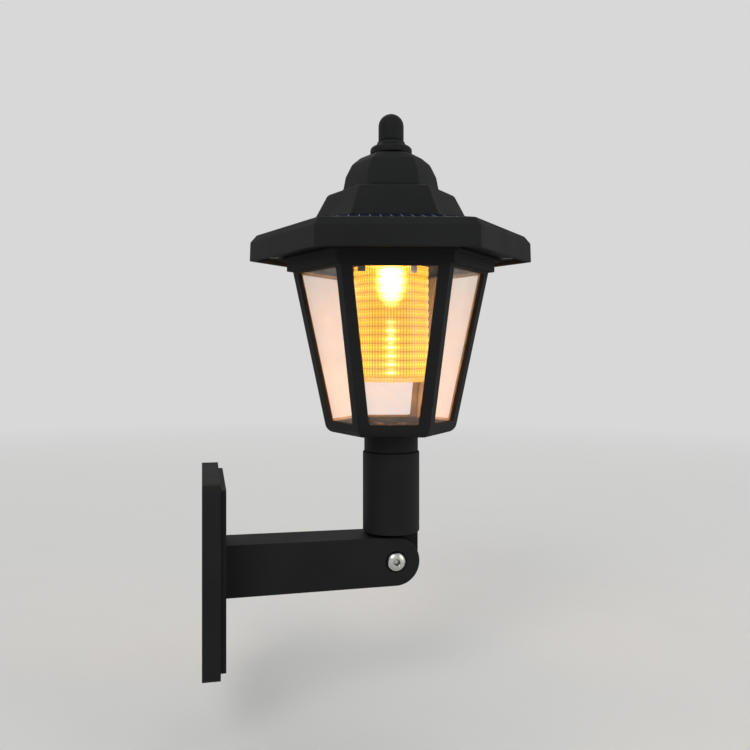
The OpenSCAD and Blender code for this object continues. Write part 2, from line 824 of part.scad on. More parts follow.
module finial() {
    shoulder = finial_z0 + finial_h - finial_r;
    color(black) at_lantern() difference() {
        union() {
            translate([0, 0, shoulder]) sphere(r = finial_r);
            disc(finial_r, finial_z0 + finial_edge, shoulder);
            translate([0, 0, finial_z0]) cylinder(r1 = finial_r - finial_edge, r2 = finial_r, h = finial_edge);
        }
        disc(thread_r(finial_screw), finial_z0 - over, dome_z1 - roof_wall + finial_screw[1] + bore_spare);
    }
}

module finial_screw() {
    color(steel) at_lantern() translate([0, 0, dome_z1 - roof_wall]) mirror([0, 0, 1])
        pan_screw(finial_screw);
}

// Places a shape at each of the reflector's two screws
module reflector_screw_places() {
    for (x = [-1, 1] * reflector_screw_x) {
        translate([x, 0, 0]) children();
    }
}

// Places a shape at each of the circuit board's four screws
module board_screw_places() {
    for (s = [-1, 1]) {
        translate([s * front_post_x, front_post_y, 0]) children();
        translate([s * back_post_x, back_post_y, 0]) children();
    }
}

module roof_base() {
    slot_t = knob_t + 2 * knob_play;
    color(black) at_lantern() difference() {
        union() {
            difference() {
                union() {
                    hex_plate(base_r, base_z0, base_z1);
                    disc(cup_r, cup_z0, base_z0 + sink);
                }
                disc(cup_r - cup_wall, cup_top, base_z1 + over);
            }
            for (a = lug_starts) {
                ring_sector(cup_r - sink, cup_r + lug_reach, cup_z0, cup_z0 + lug_t, a, a + lug_angle);
            }
            reflector_screw_places() disc(boss_r(reflector_screw), cup_top - sink, reflector_z0);
            board_screw_places() disc(boss_r(board_screw), cup_top - sink, board_z0);
        }
        disc(lens_r + lens_play, cup_z0 - over, cup_top + over);
        base_screw_places() disc(hole_r(base_screw), base_z0 - over, base_z1 + over);
        reflector_screw_places() disc(thread_r(reflector_screw),
            reflector_z0 + reflector_t - reflector_screw[1] - bore_spare, reflector_z0 + over);
        board_screw_places()
            disc(thread_r(board_screw), board_z1 - board_screw[1] - bore_spare, board_z0 + over);
        translate([knob_x - knob_w / 2 - knob_play, knob_y - slot_t / 2, cup_z0 - over])
            cube([slider_l, slot_t, cup_floor_t + 2 * over]);
        translate([sensor_x, sensor_y, 0]) disc(sensor_d / 2 + sensor_play, cup_z0 - over, cup_top + over);
    }
}

module base_screws() {
    color(black_steel) at_lantern() base_screw_places() translate([0, 0, base_z0]) mirror([0, 0, 1])
        pan_screw(base_screw);
}

module battery_holder() {
    x1 = contact_x1 + contact_t;
    y1 = cell_y + cell_d / 2 + holder_wall;
    color(black) at_lantern() difference() {
        translate([contact_x0 - holder_end, holder_y0, base_z1])
            cube([x1 - contact_x0 + 2 * holder_end, y1 - holder_y0, cell_z - base_z1]);
        translate([0, cell_y, cell_z]) along_x() disc(cell_d / 2 + cell_play, contact_x0, x1);
        for (x = [contact_x0, contact_x1]) {
            translate([x, holder_y0 - over, cell_z - contact_h / 2])
                cube([contact_t, cell_y - holder_y0 + over, contact_h]);
        }
    }
}

module battery() {
    nub_h = 1.3;
    nub_d = 0.52 * cell_d;
    color(cell_green) at_lantern() translate([-cell_len / 2, cell_y, cell_z]) along_x() {
        cylinder(d = cell_d, h = cell_len - nub_h);
        cylinder(d = nub_d, h = cell_len);
    }
}

// The sheet-metal blade of a battery contact, whose tab takes the wire
module contact_blade(x) {
    translate([x, contact_tab_y, cell_z - contact_h / 2])
        cube([contact_t, cell_y - contact_tab_y + contact_h / 2, contact_h]);
}

module battery_spring() {
    foot_r = 3.6;
    tip_r = 2.6;
    coil_t = 1.3;
    color(steel) at_lantern() {
        contact_blade(contact_x0);
        translate([contact_x0 + contact_t - eps, cell_y, cell_z]) along_x() rotate_extrude()
            polygon([[foot_r - coil_t, 0], [foot_r, 0], [tip_r, spring_len + eps],
                [tip_r - coil_t, spring_len + eps]]);
    }
}

module battery_contact() {
    color(steel) at_lantern() contact_blade(contact_x1);
}

module circuit_board() {
    // Chips as x, y, width, depth and height, and the capacitor as x, y, diameter and height
    chips = [[-4, -12, 5, 4, 1.5], [6, -12, 6, 6, 2.6], [-6, 4, 3.2, 1.6, 0.7], [2, 4, 3.2, 1.6, 0.7]];
    can = [-12, -10, 4, 5];
    color(board_green) at_lantern() difference() {
        union() {
            translate([-board_x, board_y0, board_z0]) cube([2 * board_x, board_y1 - board_y0, board_t]);
            for (c = chips) {
                translate([c[0], c[1], board_z1 - eps]) cube([c[2], c[3], c[4]]);
            }
            translate([can[0], can[1], board_z1 - eps]) cylinder(d = can[2], h = can[3]);
        }
        board_screw_places() disc(hole_r(board_screw), board_z0 - over, board_z1 + over);
    }
}

module board_screws() {
    color(steel) at_lantern() board_screw_places() translate([0, 0, board_z1]) pan_screw(board_screw);
}

module led() {
    r = led_d / 2;
    dome_z = led_flange_z1 - led_len + r;
    color(amber) at_lantern() {
        disc(r + led_flange_w, led_flange_z1 - led_flange_t, led_flange_z1);
        disc(r, dome_z, led_flange_z1 - led_flange_t + eps);
        translate([0, 0, dome_z]) sphere(r = r);
        for (x = [-1, 1] * leg_pitch / 2) {
            translate([x - leg_t / 2, -leg_t / 2, led_flange_z1 - eps])
                cube([leg_t, leg_t, board_z0 - led_flange_z1 + eps]);
        }
    }
}

module reflector() {
    ear_x = reflector_screw_x + 2.4;
    plug_r = lens_r - lens_wall - lens_rib - 0.3;
    pocket_r = led_d / 2 + led_flange_w + 0.1;
    post_z0 = led_flange_z1 - led_flange_t - 0.2;
    z1 = reflector_z0 + reflector_t;
    color(white) at_lantern() difference() {
        union() {
            disc(reflector_r, reflector_z0, z1);
            translate([-ear_x, -ear_w / 2, reflector_z0]) cube([2 * ear_x, ear_w, reflector_t]);
            disc(plug_r, reflector_z0 - 2, reflector_z0 + sink / 2);
            disc(pocket_r + boss_wall, post_z0, reflector_z0);
        }
        disc(leg_pitch / 2 + 0.75 * leg_t, post_z0, z1 + over);
        disc(pocket_r, post_z0 - over, led_flange_z1);
        reflector_screw_places() disc(hole_r(reflector_screw), reflector_z0 - over, z1 + over);
    }
}

module reflector_screws() {
    color(steel) at_lantern() reflector_screw_places() translate([0, 0, reflector_z0 + reflector_t])
        pan_screw(reflector_screw);
}

module lens_tube() {
    z0 = cup_z0 - lens_len;
    z1 = cup_top + lens_flange_t;
    foot = 2;
    land = 0.6;
    valley_r = lens_r - lens_rib;
    bore = valley_r - lens_wall;
    ribs = floor((lens_len - foot) / lens_pitch);
    rib_z0 = cup_z0 - land - ribs * lens_pitch;
    steps = 4;
    scallops = [for (i = [0 : ribs - 1], j = [0 : steps - 1])
        [valley_r + lens_rib * sin(180 * j / steps), rib_z0 + (i + j / steps) * lens_pitch]];
    color(clear, 0.35) at_lantern() rotate_extrude() polygon(concat(
        [[0, z0], [lens_r - foot, z0], [valley_r - land, z0 + land], [valley_r, rib_z0 - land / 2]],
        scallops,
        [[valley_r, cup_z0 - land], [lens_r, cup_z0 - land / 2], [lens_r, cup_top], [lens_flange_r, cup_top],
            [lens_flange_r, z1], [bore, z1], [bore, z0 + lens_wall], [0, z0 + lens_wall]]));
}

module light_sensor() {
    r = sensor_d / 2;
    tip = cup_z0 - sensor_drop;
    flange = 0.4;
    flange_z1 = cup_top + 1;
    leg = 0.4;
    color(resin_grey) at_lantern() translate([sensor_x, sensor_y, 0]) {
        translate([0, 0, tip + r]) sphere(r = r);
        disc(r, tip + r, cup_top + eps);
        disc(r + flange, cup_top, flange_z1);
        for (x = [-1, 1]) {
            translate([x - leg / 2, -leg / 2, flange_z1 - eps]) cube([leg, leg, board_z0 - flange_z1 + eps]);
        }
    }
}

module switch_body() {
    end_wall = 0.95;
    side_wall = 0.55;
    slider_room = 2.3;
    h = 4.6;
    pin_r = 0.35;
    pin_pitch = 2.5;
    l = slider_l + 2 * end_wall;
    w = knob_t + 2.4;
    color(switch_grey) at_lantern() translate([knob_x + switch_travel / 2, knob_y, cup_top]) {
        difference() {
            translate([-l / 2, -w / 2, 0]) cube([l, w, h]);
            translate([-slider_l / 2, -w / 2 + side_wall, -over])
                cube([slider_l, w - 2 * side_wall, slider_room + over]);
        }
        for (x = [-1, 0, 1] * pin_pitch) {
            translate([x, 0, 0]) disc(pin_r, h - eps, board_z0 - cup_top);
        }
    }
}

module switch_knob() {
    head_w = knob_t + 0.6;
    head_z0 = cup_top + face_gap;
    tip = cup_z0 - knob_drop;
    color(switch_grey) at_lantern() translate([knob_x, knob_y, 0]) {
        translate([-knob_w / 2, -knob_t / 2, tip]) cube([knob_w, knob_t, head_z0 - tip + eps]);
        translate([-knob_w / 2, -head_w / 2, head_z0]) cube([knob_w, head_w, knob_head_t]);
    }
}

module battery_leads() {
    color(wire_red) at_lantern() for (s = [-1, 1]) {
        x0 = (s < 0 ? contact_x0 : contact_x1) + contact_t / 2;
        x1 = s * battery_lead_x;
        wire([[x0, contact_tab_y, battery_lead_z], [x0, battery_lead_y, battery_lead_z],
            [x1, battery_lead_y, battery_lead_z], [x1, battery_lead_y, board_z1]]);
    }
}

module panel_leads() {
    panel_back = brim_z + (brim_top_r * cos30 + panel_lead_y) * tan(brim_tilt) - panel_t / cos(brim_tilt);
    color(wire_red) at_lantern() for (x = [-1, 1] * panel_lead_x) {
        wire([[x, panel_lead_y, panel_back - wire_d * tan(brim_tilt)], [x, panel_lead_y, panel_lead_z],
            [x, panel_lead_pad_y, panel_lead_z], [x, panel_lead_pad_y, board_z1]]);
    }
}

wall_plate();
arm();
arm_screws();
elbow_bolt();
elbow_nut();
elbow_washers();
stem_tube();
neck_spigot();
neck_screws();
cage_frame();
pane(1);  // pane_1
pane(2);  // pane_2
pane(3);  // pane_3
pane(4);  // pane_4
pane(5);  // pane_5
pane(6);  // pane_6
collar_ring();
roof_seal();
roof_brim();
roof_crown();
finial();
finial_ring();
finial_screw();
solar_panel(1);  // solar_panel_1
solar_panel(2);  // solar_panel_2
solar_panel(3);  // solar_panel_3
solar_panel(4);  // solar_panel_4
solar_panel(5);  // solar_panel_5
solar_panel(6);  // solar_panel_6
roof_base();
base_screws();
battery_holder();
battery();
battery_spring();
battery_contact();
circuit_board();
board_screws();
led();
reflector();
reflector_screws();
lens_tube();
light_sensor();
switch_body();
switch_knob();
battery_leads();
panel_leads();
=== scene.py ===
import json
import math

import bpy
from mathutils import Matrix, Vector


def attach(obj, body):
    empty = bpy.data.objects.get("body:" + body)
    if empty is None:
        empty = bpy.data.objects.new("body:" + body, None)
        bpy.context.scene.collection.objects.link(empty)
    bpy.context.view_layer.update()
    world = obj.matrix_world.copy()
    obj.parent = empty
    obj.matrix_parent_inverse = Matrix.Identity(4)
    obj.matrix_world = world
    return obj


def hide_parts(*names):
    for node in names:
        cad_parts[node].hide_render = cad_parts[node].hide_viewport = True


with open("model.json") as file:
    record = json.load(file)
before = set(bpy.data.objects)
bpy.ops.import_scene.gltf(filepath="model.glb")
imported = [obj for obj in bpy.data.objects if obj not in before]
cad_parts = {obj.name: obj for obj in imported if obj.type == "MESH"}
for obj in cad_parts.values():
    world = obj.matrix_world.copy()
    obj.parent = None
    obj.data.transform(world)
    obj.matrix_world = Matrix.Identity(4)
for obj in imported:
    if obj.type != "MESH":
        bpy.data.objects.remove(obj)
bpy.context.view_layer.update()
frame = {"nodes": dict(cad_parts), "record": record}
nodes = frame["nodes"]
scene = bpy.context.scene
mm = 0.001
hexFlat = math.cos(math.pi / 6)  # a hexagon's radius to its flats, over the radius to its corners
print("frame loaded with", len(nodes), "nodes")

# The lantern stands over the elbow, turned a little away from the camera
lantern = {"place": (92.3, 0, -2), "turn": -11}

# The camera stands where the photo was taken from
cameraView = {"place": (0, -376.4, 102.5), "towards": (0.218, 0.976, 0), "focal": 37.2, "shiftY": -28 / 750}
cameraData = bpy.data.cameras.new("photoCamera")
cameraData.sensor_width = 36
cameraData.lens = cameraView["focal"]
cameraData.shift_y = cameraView["shiftY"]
cameraData.clip_start = 0.01
cameraObject = bpy.data.objects.new("photoCamera", cameraData)
scene.collection.objects.link(cameraObject)
cameraObject.location = Vector(cameraView["place"]) * mm
cameraObject.rotation_euler = Vector(cameraView["towards"]).to_track_quat("-Z", "Y").to_euler()
scene.camera = cameraObject
scene.view_settings.view_transform = "Standard"
print("camera set")

# Helpers for modelling


def objectMode():
    if bpy.context.object and bpy.context.object.mode != "OBJECT":
        bpy.ops.object.mode_set(mode="OBJECT")


def only(obj):  # the one selected and active object
    objectMode()
    bpy.ops.object.select_all(action="DESELECT")
    obj.select_set(True)
    bpy.context.view_layer.objects.active = obj


def applyPlace(obj):
    only(obj)
    bpy.ops.object.transform_apply(location=True, rotation=True, scale=True)
    return obj


def pick(obj, kind, test):  # selects the vertices, edges or faces that pass the test, in edit mode
    only(obj)
    mesh = obj.data
    for group in (mesh.vertices, mesh.edges, mesh.polygons):
        group.foreach_set("select", [False] * len(group))
    if kind == "VERT":
        for v in mesh.vertices:
            v.select = test(v.co / mm)
    elif kind == "EDGE":
        for e in mesh.edges:
            a, b = (mesh.vertices[i].co / mm for i in e.vertices)
            e.select = test(a, b)
    else:
        for f in mesh.polygons:
            f.select = test(f.center / mm, f.normal)
    scene.tool_settings.mesh_select_mode = (kind == "VERT", kind == "EDGE", kind == "FACE")
    bpy.ops.object.mode_set(mode="EDIT")


def pickAll(obj):
    only(obj)
    scene.tool_settings.mesh_select_mode = (True, False, False)
    bpy.ops.object.mode_set(mode="EDIT")
    bpy.ops.mesh.select_all(action="SELECT")


def extrude(x, z=0):  # what is selected, by so many millimetres
    bpy.ops.mesh.extrude_region_move(TRANSFORM_OT_translate={"value": (x * mm, 0, z * mm)})


def block(name, low, high):  # a box between two corners, to be shaped further
    middle = [(a + b) / 2 * mm for a, b in zip(low, high)]
    objectMode()
    bpy.ops.mesh.primitive_cube_add(size=mm, location=middle, scale=[b - a for a, b in zip(low, high)])
    obj = bpy.context.object
    obj.name = name
    return applyPlace(obj)


def rod(name, radius, low, high, axis="Z", sides=64, place=(0, 0, 0), turn=0, tip=None):  # a cutter or a core
    objectMode()
    spin = {"X": (0, math.pi / 2, 0), "Y": (-math.pi / 2, 0, 0), "Z": (0, 0, 0)}[axis]
    bpy.ops.mesh.primitive_cone_add(vertices=sides, radius1=radius * mm, depth=(high - low) * mm,
                                    radius2=(radius if tip is None else tip) * mm)
    obj = bpy.context.object
    obj.name = name
    obj.rotation_euler = (0, 0, math.radians(turn))
    applyPlace(obj)
    along = {"X": (1, 0, 0), "Y": (0, 1, 0), "Z": (0, 0, 1)}[axis]
    obj.rotation_euler = spin
    obj.location = (Vector(place) + Vector(along) * (low + high) / 2) * mm
    return applyPlace(obj)


def turned(name, profile, sides, closed=False):  # rings of (radius, height), extruded one after another
    objectMode()
    radius, height = profile[0]
    fill = "NOTHING" if closed else "NGON"
    bpy.ops.mesh.primitive_circle_add(vertices=sides, radius=radius * mm, location=(0, 0, height * mm),
                                      rotation=(0, 0, -math.pi / 2), fill_type=fill)
    obj = bpy.context.object
    obj.name = name
    applyPlace(obj)
    pickAll(obj)
    for newRadius, newHeight in profile[1:]:
        extrude(0, newHeight - height)
        scale = newRadius / radius
        bpy.ops.transform.resize(value=(scale, scale, 1), center_override=(0, 0, newHeight * mm))
        radius, height = newRadius, newHeight
    bpy.ops.mesh.select_all(action="SELECT")
    bpy.ops.mesh.remove_doubles(threshold=0.002 * mm)
    bpy.ops.mesh.normals_make_consistent(inside=False)
    objectMode()
    return obj


def joined(objects):
    only(objects[0])
    for obj in objects[1:]:
        obj.select_set(True)
    bpy.ops.object.join()
    return bpy.context.object


def combine(obj, tool, operation="DIFFERENCE"):  # a boolean, applied, after which the tool goes
    only(obj)
    bpy.ops.object.modifier_add(type="BOOLEAN")
    modifier = obj.modifiers[-1]
    modifier.object = tool
    modifier.operation = operation
    modifier.solver = "EXACT"
    modifier.use_self = True
    bpy.ops.object.modifier_apply(modifier=modifier.name)
    bpy.data.objects.remove(tool)


def softenEdges(obj, width, angle=30, segments=2, clamp=True):
    only(obj)
    bpy.ops.object.modifier_add(type="BEVEL")
    modifier = obj.modifiers[-1]
    modifier.width = width * mm
    modifier.segments = segments
    modifier.limit_method = "ANGLE"
    modifier.angle_limit = math.radians(angle)
    modifier.use_clamp_overlap = clamp
    bpy.ops.object.modifier_apply(modifier=modifier.name)


def ringOfSix(first, name, out, height=0, tilt=0, start=30):  # the first and five copies, round the axis
    ring = [first]
    for k in range(2, 7):
        twin = first.copy()
        twin.data = first.data.copy()
        twin.name = f"{name}{k}"
        scene.collection.objects.link(twin)
        ring.append(twin)
    for k, piece in enumerate(ring):
        piece.matrix_world = (Matrix.Rotation(math.radians(60 * k + start), 4, "Z")
                              @ Matrix.Translation(Vector((out, 0, height)) * mm)
                              @ Matrix.Rotation(tilt, 4, "Y"))
        applyPlace(piece)
    return ring


def finishPiece(obj, body, replaced, slot, inLantern=False, smooth=32, weighted=True):
    only(obj)
    if inLantern:
        obj.location = Vector(lantern["place"]) * mm
        obj.rotation_euler = (0, 0, math.radians(lantern["turn"]))
        applyPlace(obj)
    bpy.ops.object.shade_smooth_by_angle(angle=math.radians(smooth))
    if weighted:
        bpy.ops.object.modifier_add(type="WEIGHTED_NORMAL")
        obj.modifiers[-1].keep_sharp = True
        bpy.ops.object.modifier_apply(modifier=obj.modifiers[-1].name)
    obj.data.materials.clear()
    obj.data.materials.append(finishes[slot])
    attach(obj, body)
    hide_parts(*replaced)


def softCopy(node, name, body, slot, edge):  # the solid's own mesh, merged, with softer edges
    obj = bpy.data.objects.new(name, nodes[node].data.copy())
    scene.collection.objects.link(obj)
    pickAll(obj)
    bpy.ops.mesh.remove_doubles(threshold=0.002 * mm)
    bpy.ops.mesh.dissolve_limited(angle_limit=math.radians(0.4))
    softenEdges(obj, edge, 40)
    finishPiece(obj, body, [node], slot)


# Materials: every one is made of nodes, in the object's own coordinates, with scales from real millimetres


def colour(hexText, power=1.0):  # an sRGB hex value as the linear numbers that a shader takes
    values = [int(hexText[i:i + 2], 16) / 255 for i in (1, 3, 5)]
    return [power * (v / 12.92 if v <= 0.04045 else ((v + 0.055) / 1.055) ** 2.4) for v in values] + [1.0]


def tones(pair):  # two hex colours as the two sides of a mix
    return {6: colour(pair[0]), 7: colour(pair[1])}


def span(pair, end="To"):  # two numbers as the ends of a range that is mapped from or to
    return {f"{end} Min": pair[0], f"{end} Max": pair[1]}


def setInputs(node, inputs):  # a link where the value is a socket, else a number or a colour
    for key, value in inputs.items():
        if isinstance(value, bpy.types.NodeSocket):
            node.id_data.links.new(value, node.inputs[key])
        else:
            node.inputs[key].default_value = value


def addNode(tree, kind, inputs=None, out=0, **settings):  # a node with settings and links; gives an output
    node = tree.nodes.new("ShaderNode" + kind)
    for name, value in settings.items():
        setattr(node, name, value)
    setInputs(node, inputs or {})
    return node.outputs[out]


def newMaterial(name):
    material = bpy.data.materials.new(name)
    material.use_nodes = True
    tree = material.node_tree
    return material, tree, tree.nodes["Principled BSDF"], addNode(tree, "TexCoord", out="Object")


grained = {
    # Black ABS from a spark-eroded mould: matt, with a faint even grain and a softly uneven gloss
    "mouldedAbs": {"tint": ("#171818", "#1d1e1e"), "patch": 26, "rough": (0.52, 0.66), "grain": 0.9,
                   "depth": 0.05, "bump": 0.5, "gloss": 0.09, "fade": (0.6, 0.92), "metal": 0},
    # Bright zinc-plated steel: pale grey metal with a slightly cloudy shine, and painted shade that darkens
    # its recesses
    "zincSteel": {"tint": ("#b4b6b1", "#d3d5cf"), "patch": 2.6, "rough": (0.2, 0.3), "grain": 0.5,
                  "depth": 0.004, "bump": 0.25, "gloss": 0.5, "metal": 1, "recess": ("#3a3a38", 1.6)},
    # Blackened steel of the small screws: dark, with a dull satin shine
    "blackenedSteel": {"tint": ("#1a1b1c", "#2a2b2c"), "patch": 1.5, "rough": (0.42, 0.58),
                       "grain": 0.4, "depth": 0.01, "bump": 0.4, "gloss": 0.4, "metal": 0.6},
    # Black silicone rubber, punched or moulded: matt and slightly dusty
    "siliconeRubber": {"tint": ("#131313", "#232322"), "patch": 3, "rough": (0.72, 0.9), "grain": 0.5,
                       "depth": 0.03, "bump": 0.4, "gloss": 0.25, "metal": 0},
    # White ABS that throws the lamp's light down: satin, with slow changes of gloss
    "whiteAbs": {"tint": ("#e2e1da", "#efeee9"), "patch": 8, "rough": (0.3, 0.42), "grain": 0.6,
                 "depth": 0.02, "bump": 0.3, "gloss": 0.5, "metal": 0},
    # Tinted epoxy of the light sensor: grey and glossy, a little cloudy
    "tintedEpoxy": {"tint": ("#c4becb", "#d8d2de"), "patch": 1.5, "rough": (0.12, 0.24), "grain": 0.8,
                    "depth": 0.005, "bump": 0.2, "gloss": 0.5, "metal": 0},
    # Dark nylon of the slide switch: satin, with a fine drag texture
    "mouldedNylon": {"tint": ("#151619", "#202226"), "patch": 0.5, "rough": (0.3, 0.45), "grain": 0.5,
                     "depth": 0.02, "bump": 0.4, "gloss": 0.5, "metal": 0},
    # Red PVC insulation: smooth and slightly waxy
    "redPvc": {"tint": ("#9c231c", "#b5322a"), "patch": 3, "rough": (0.35, 0.5), "grain": 0.6,
               "depth": 0.01, "bump": 0.3, "gloss": 0.5, "metal": 0}}


def grainedFinish(name):  # a cloudy tint and gloss over a fine grain
    look = grained[name]
    material, tree, shader, coords = newMaterial(name)
    cloud = addNode(tree, "TexNoise", {"Vector": coords, "Scale": 1 / (look["patch"] * mm), "Detail": 3.0})
    grain = addNode(tree, "TexNoise", {"Vector": coords, "Scale": 1 / (look["grain"] * mm), "Detail": 3.0})
    share = addNode(tree, "MapRange", {"Value": cloud, "From Min": 0.3, "From Max": 0.7})
    gloss = look["gloss"]
    if "fade" in look:  # a matt grain shades itself at a flat angle, so its gloss fades there
        facing = addNode(tree, "LayerWeight", {"Blend": 0.5}, "Facing")
        gloss = addNode(tree, "MapRange", {"Value": facing, **span(look["fade"], "From"),
                                           **span((gloss, 0.0))})
    tint = addNode(tree, "Mix", {0: share, **tones(look["tint"])}, 2, data_type="RGBA")
    if "recess" in look:  # painted shade: darker where a narrow recess keeps the light out
        shade, reach = look["recess"]
        lightIn = addNode(tree, "AmbientOcclusion", {"Distance": reach * mm}, "AO")
        lightIn = addNode(tree, "MapRange", {"Value": lightIn, "From Min": 0.35, "From Max": 0.8})
        tint = addNode(tree, "Mix", {0: lightIn, 6: colour(shade), 7: tint}, 2, data_type="RGBA")
    setInputs(shader, {
        "Base Color": tint,
        "Roughness": addNode(tree, "MapRange", {"Value": share, **span(look["rough"])}),
        "Normal": addNode(tree, "Bump", {"Height": grain, "Strength": look["bump"],
                                         "Distance": look["depth"] * mm}),
        "Specular IOR Level": gloss, "Metallic": look["metal"], "IOR": 1.53})
    return material


# Polished clear styrene sheet: nearly invisible face on, a little haze and smears, glossy at an angle, with a
# painted pale reflection that thickens at a glancing angle
paneLook = {"tint": ("#cfd2d0", "#d9dcda"), "smear": 18, "haze": (0.035, 0.09), "glancingSheen": 0.2,
            "rough": 0.09}


def clearStyrene():
    material, tree, shader, coords = newMaterial("clearStyrene")
    smear = addNode(tree, "TexNoise", {"Vector": coords, "Scale": 1 / (paneLook["smear"] * mm), "Detail": 4.0,
                                       "Roughness": 0.6, "Distortion": 0.6})
    haze = addNode(tree, "MapRange", {"Value": smear, "From Min": 0.35, "From Max": 0.7,
                                      **span(paneLook["haze"])})
    edgeOn = addNode(tree, "LayerWeight", {"Blend": 0.35}, "Facing")
    setInputs(shader, {
        "Base Color": addNode(tree, "Mix", {0: smear, **tones(paneLook["tint"])}, 2, data_type="RGBA"),
        # painted reflection: the pale tint turns more opaque at a glancing angle, on top of the real haze of
        # the smears
        "Alpha": addNode(tree, "Math", {0: edgeOn, 1: paneLook["glancingSheen"], 2: haze},
                         operation="MULTIPLY_ADD", use_clamp=True),
        "Roughness": paneLook["rough"], "IOR": 1.55})
    return material


# Moulded clear styrene cup, ribbed outside and fluted inside, with the lamp's amber light painted on it as
# glow:
# lines of deep orange and yellow, and a painted white burn in front of the lamp
lensLook = {"valley": 87.9, "pitch": 4.1, "strokes": 76, "clear": "#4a3c14", "alpha": 0.64, "glass": 0.9,
            "rough": 0.25, "groove": ("#b87004", 0.94), "low": 85.5, "high": 145.6, "power": 1.55,
            "glow": [(0.0, "#c8900c"), (0.05, "#f0d414"), (0.14, "#f8e028"), (0.3, "#f0d218"),
                     (0.45, "#eac410"), (0.6, "#eac010"), (0.75, "#f2cc18"), (1.0, "#fcd22c")],
            "lampHeight": 135, "lampReach": 15.5, "lampSpread": 7.5, "lampTint": "#ffdc78", "lampPower": 10,
            "glints": [("#ffd850", 22, 0.8), ("#fff0b0", 90, 3.5)],
            "glintTop": (118, 0.0), "glintLow": (103, 1.0)}


def litStyrene():
    material, tree, shader, coords = newMaterial("litStyrene")
    centre = Vector((lantern["place"][0], 0, lensLook["valley"])) * mm
    place = addNode(tree, "Mapping", {"Vector": coords, "Location": -centre})
    x, y, _ = addNode(tree, "SeparateXYZ", {"Vector": place}).node.outputs
    turn = addNode(tree, "Math", {0: y, 1: x}, operation="ARCTAN2")
    around = addNode(tree, "CombineXYZ", {"X": turn})
    ribs = addNode(tree, "TexWave", {"Vector": place, "Scale": 0.1 * math.pi / (lensLook["pitch"] * mm),
                                     "Distortion": 0.15, "Detail Scale": 0.5}, 1, bands_direction="Z")
    rings = addNode(tree, "TexWave", {"Vector": place, "Scale": 0.3 * math.pi / (lensLook["pitch"] * mm),
                                      "Distortion": 0.3, "Detail Scale": 0.7}, 1, bands_direction="Z")
    strokes = addNode(tree, "TexWave", {"Vector": around, "Scale": lensLook["strokes"] / 20}, 1,
                      bands_direction="X")
    crest = addNode(tree, "Math", {0: ribs, 1: 0.35}, operation="POWER")
    lines = addNode(tree, "MapRange", {"Value": rings, "To Min": 0.6})
    threads = addNode(tree, "MapRange", {"Value": strokes, "To Min": 0.05})
    grid = addNode(tree, "Math", {0: lines, 1: threads}, operation="MULTIPLY")
    grid = addNode(tree, "Math", {0: grid, 1: crest}, operation="MULTIPLY")
    height = addNode(tree, "SeparateXYZ", {"Vector": coords}, "Z")
    share = addNode(tree, "MapRange", {"Value": height, "From Min": lensLook["low"] * mm,
                                       "From Max": lensLook["high"] * mm})
    ramp = addNode(tree, "ValToRGB", {"Fac": share})
    stops = ramp.node.color_ramp
    stops.interpolation = "EASE"
    for i, (position, shade) in enumerate(lensLook["glow"]):
        stop = stops.elements[i] if i < 2 else stops.elements.new(position)
        stop.position = position
        stop.color = colour(shade, lensLook["power"])
    lit = addNode(tree, "Mix", {0: grid, 6: colour(*lensLook["groove"]), 7: ramp}, 2, data_type="RGBA")

    # painted white hot spot of the lamp, as seen through the wall that faces the eye
    facing = addNode(tree, "LayerWeight", {"Blend": 0.5}, "Facing")
    above = addNode(tree, "MapRange", {"Value": height, "From Min": lensLook["lampHeight"] * mm,
                                       "From Max": (lensLook["lampHeight"] + lensLook["lampReach"]) * mm},
                    clamp=False)
    far = addNode(tree, "Math", {0: above, 1: above}, operation="MULTIPLY")
    far = addNode(tree, "Math", {0: facing, 1: lensLook["lampSpread"], 2: far}, operation="MULTIPLY_ADD")
    paintedHotSpot = addNode(tree, "MapRange", {"Value": far, "From Min": 1.0, "From Max": 0.0},
                   interpolation_type="SMOOTHSTEP")
    paintedHotSpot = addNode(tree, "Math", {0: paintedHotSpot, 1: paintedHotSpot}, operation="MULTIPLY")
    lit = addNode(tree, "Mix", {0: paintedHotSpot, 6: lit, 7: colour(lensLook["lampTint"], lensLook["lampPower"])}, 2,
                  data_type="RGBA", blend_type="ADD")

    # painted highlights: on every rib below the lamp a yellow bar with a white glint in its middle
    (top, none), (low, full) = lensLook["glintTop"], lensLook["glintLow"]
    under = addNode(tree, "MapRange", {"Value": height, "From Min": low * mm, "From Max": top * mm,
                                       "To Min": full, "To Max": none})
    under = addNode(tree, "Math", {0: under, 1: crest}, operation="MULTIPLY")
    for shade, spread, power in lensLook["glints"]:
        glint = addNode(tree, "Math", {0: facing, 1: -spread, 2: 1.0}, operation="MULTIPLY_ADD",
                        use_clamp=True)
        glint = addNode(tree, "Math", {0: glint, 1: under}, operation="MULTIPLY")
        lit = addNode(tree, "Mix", {0: glint, 6: lit, 7: colour(shade, power)}, 2, data_type="RGBA",
                      blend_type="ADD")
    # the glow is painted on as emission; the lens itself gives no light
    setInputs(shader, {
        "Base Color": colour(lensLook["clear"]), "Emission Color": lit, "Emission Strength": 1.0,
        "Normal": addNode(tree, "Bump", {"Height": grid, "Strength": 0.5, "Distance": 0.08 * mm}),
        "Roughness": lensLook["rough"], "Transmission Weight": lensLook["glass"],
        "Alpha": lensLook["alpha"], "IOR": 1.45, "Specular IOR Level": 0.25})
    return material


# Silicon cells under clear epoxy: blue-black, with fine silver fingers and dark gaps between the cells. Each
# set of lines has its spacing, width, shift and colour
cellLook = {"finger": (1.2, 0.14, 0.0, "#3c4254"), "busbar": (4.7, 0.4, 2.35, "#6f747c"),
            "gap": (9.4, 0.5, 0.25, "#0a0b0d"), "silicon": ("#0d1120", "#151c32"), "rough": (0.32, 0.44),
            "gloss": 0.5, "coat": 0.6, "coatRough": 0.12, "fade": (0.6, 0.92)}


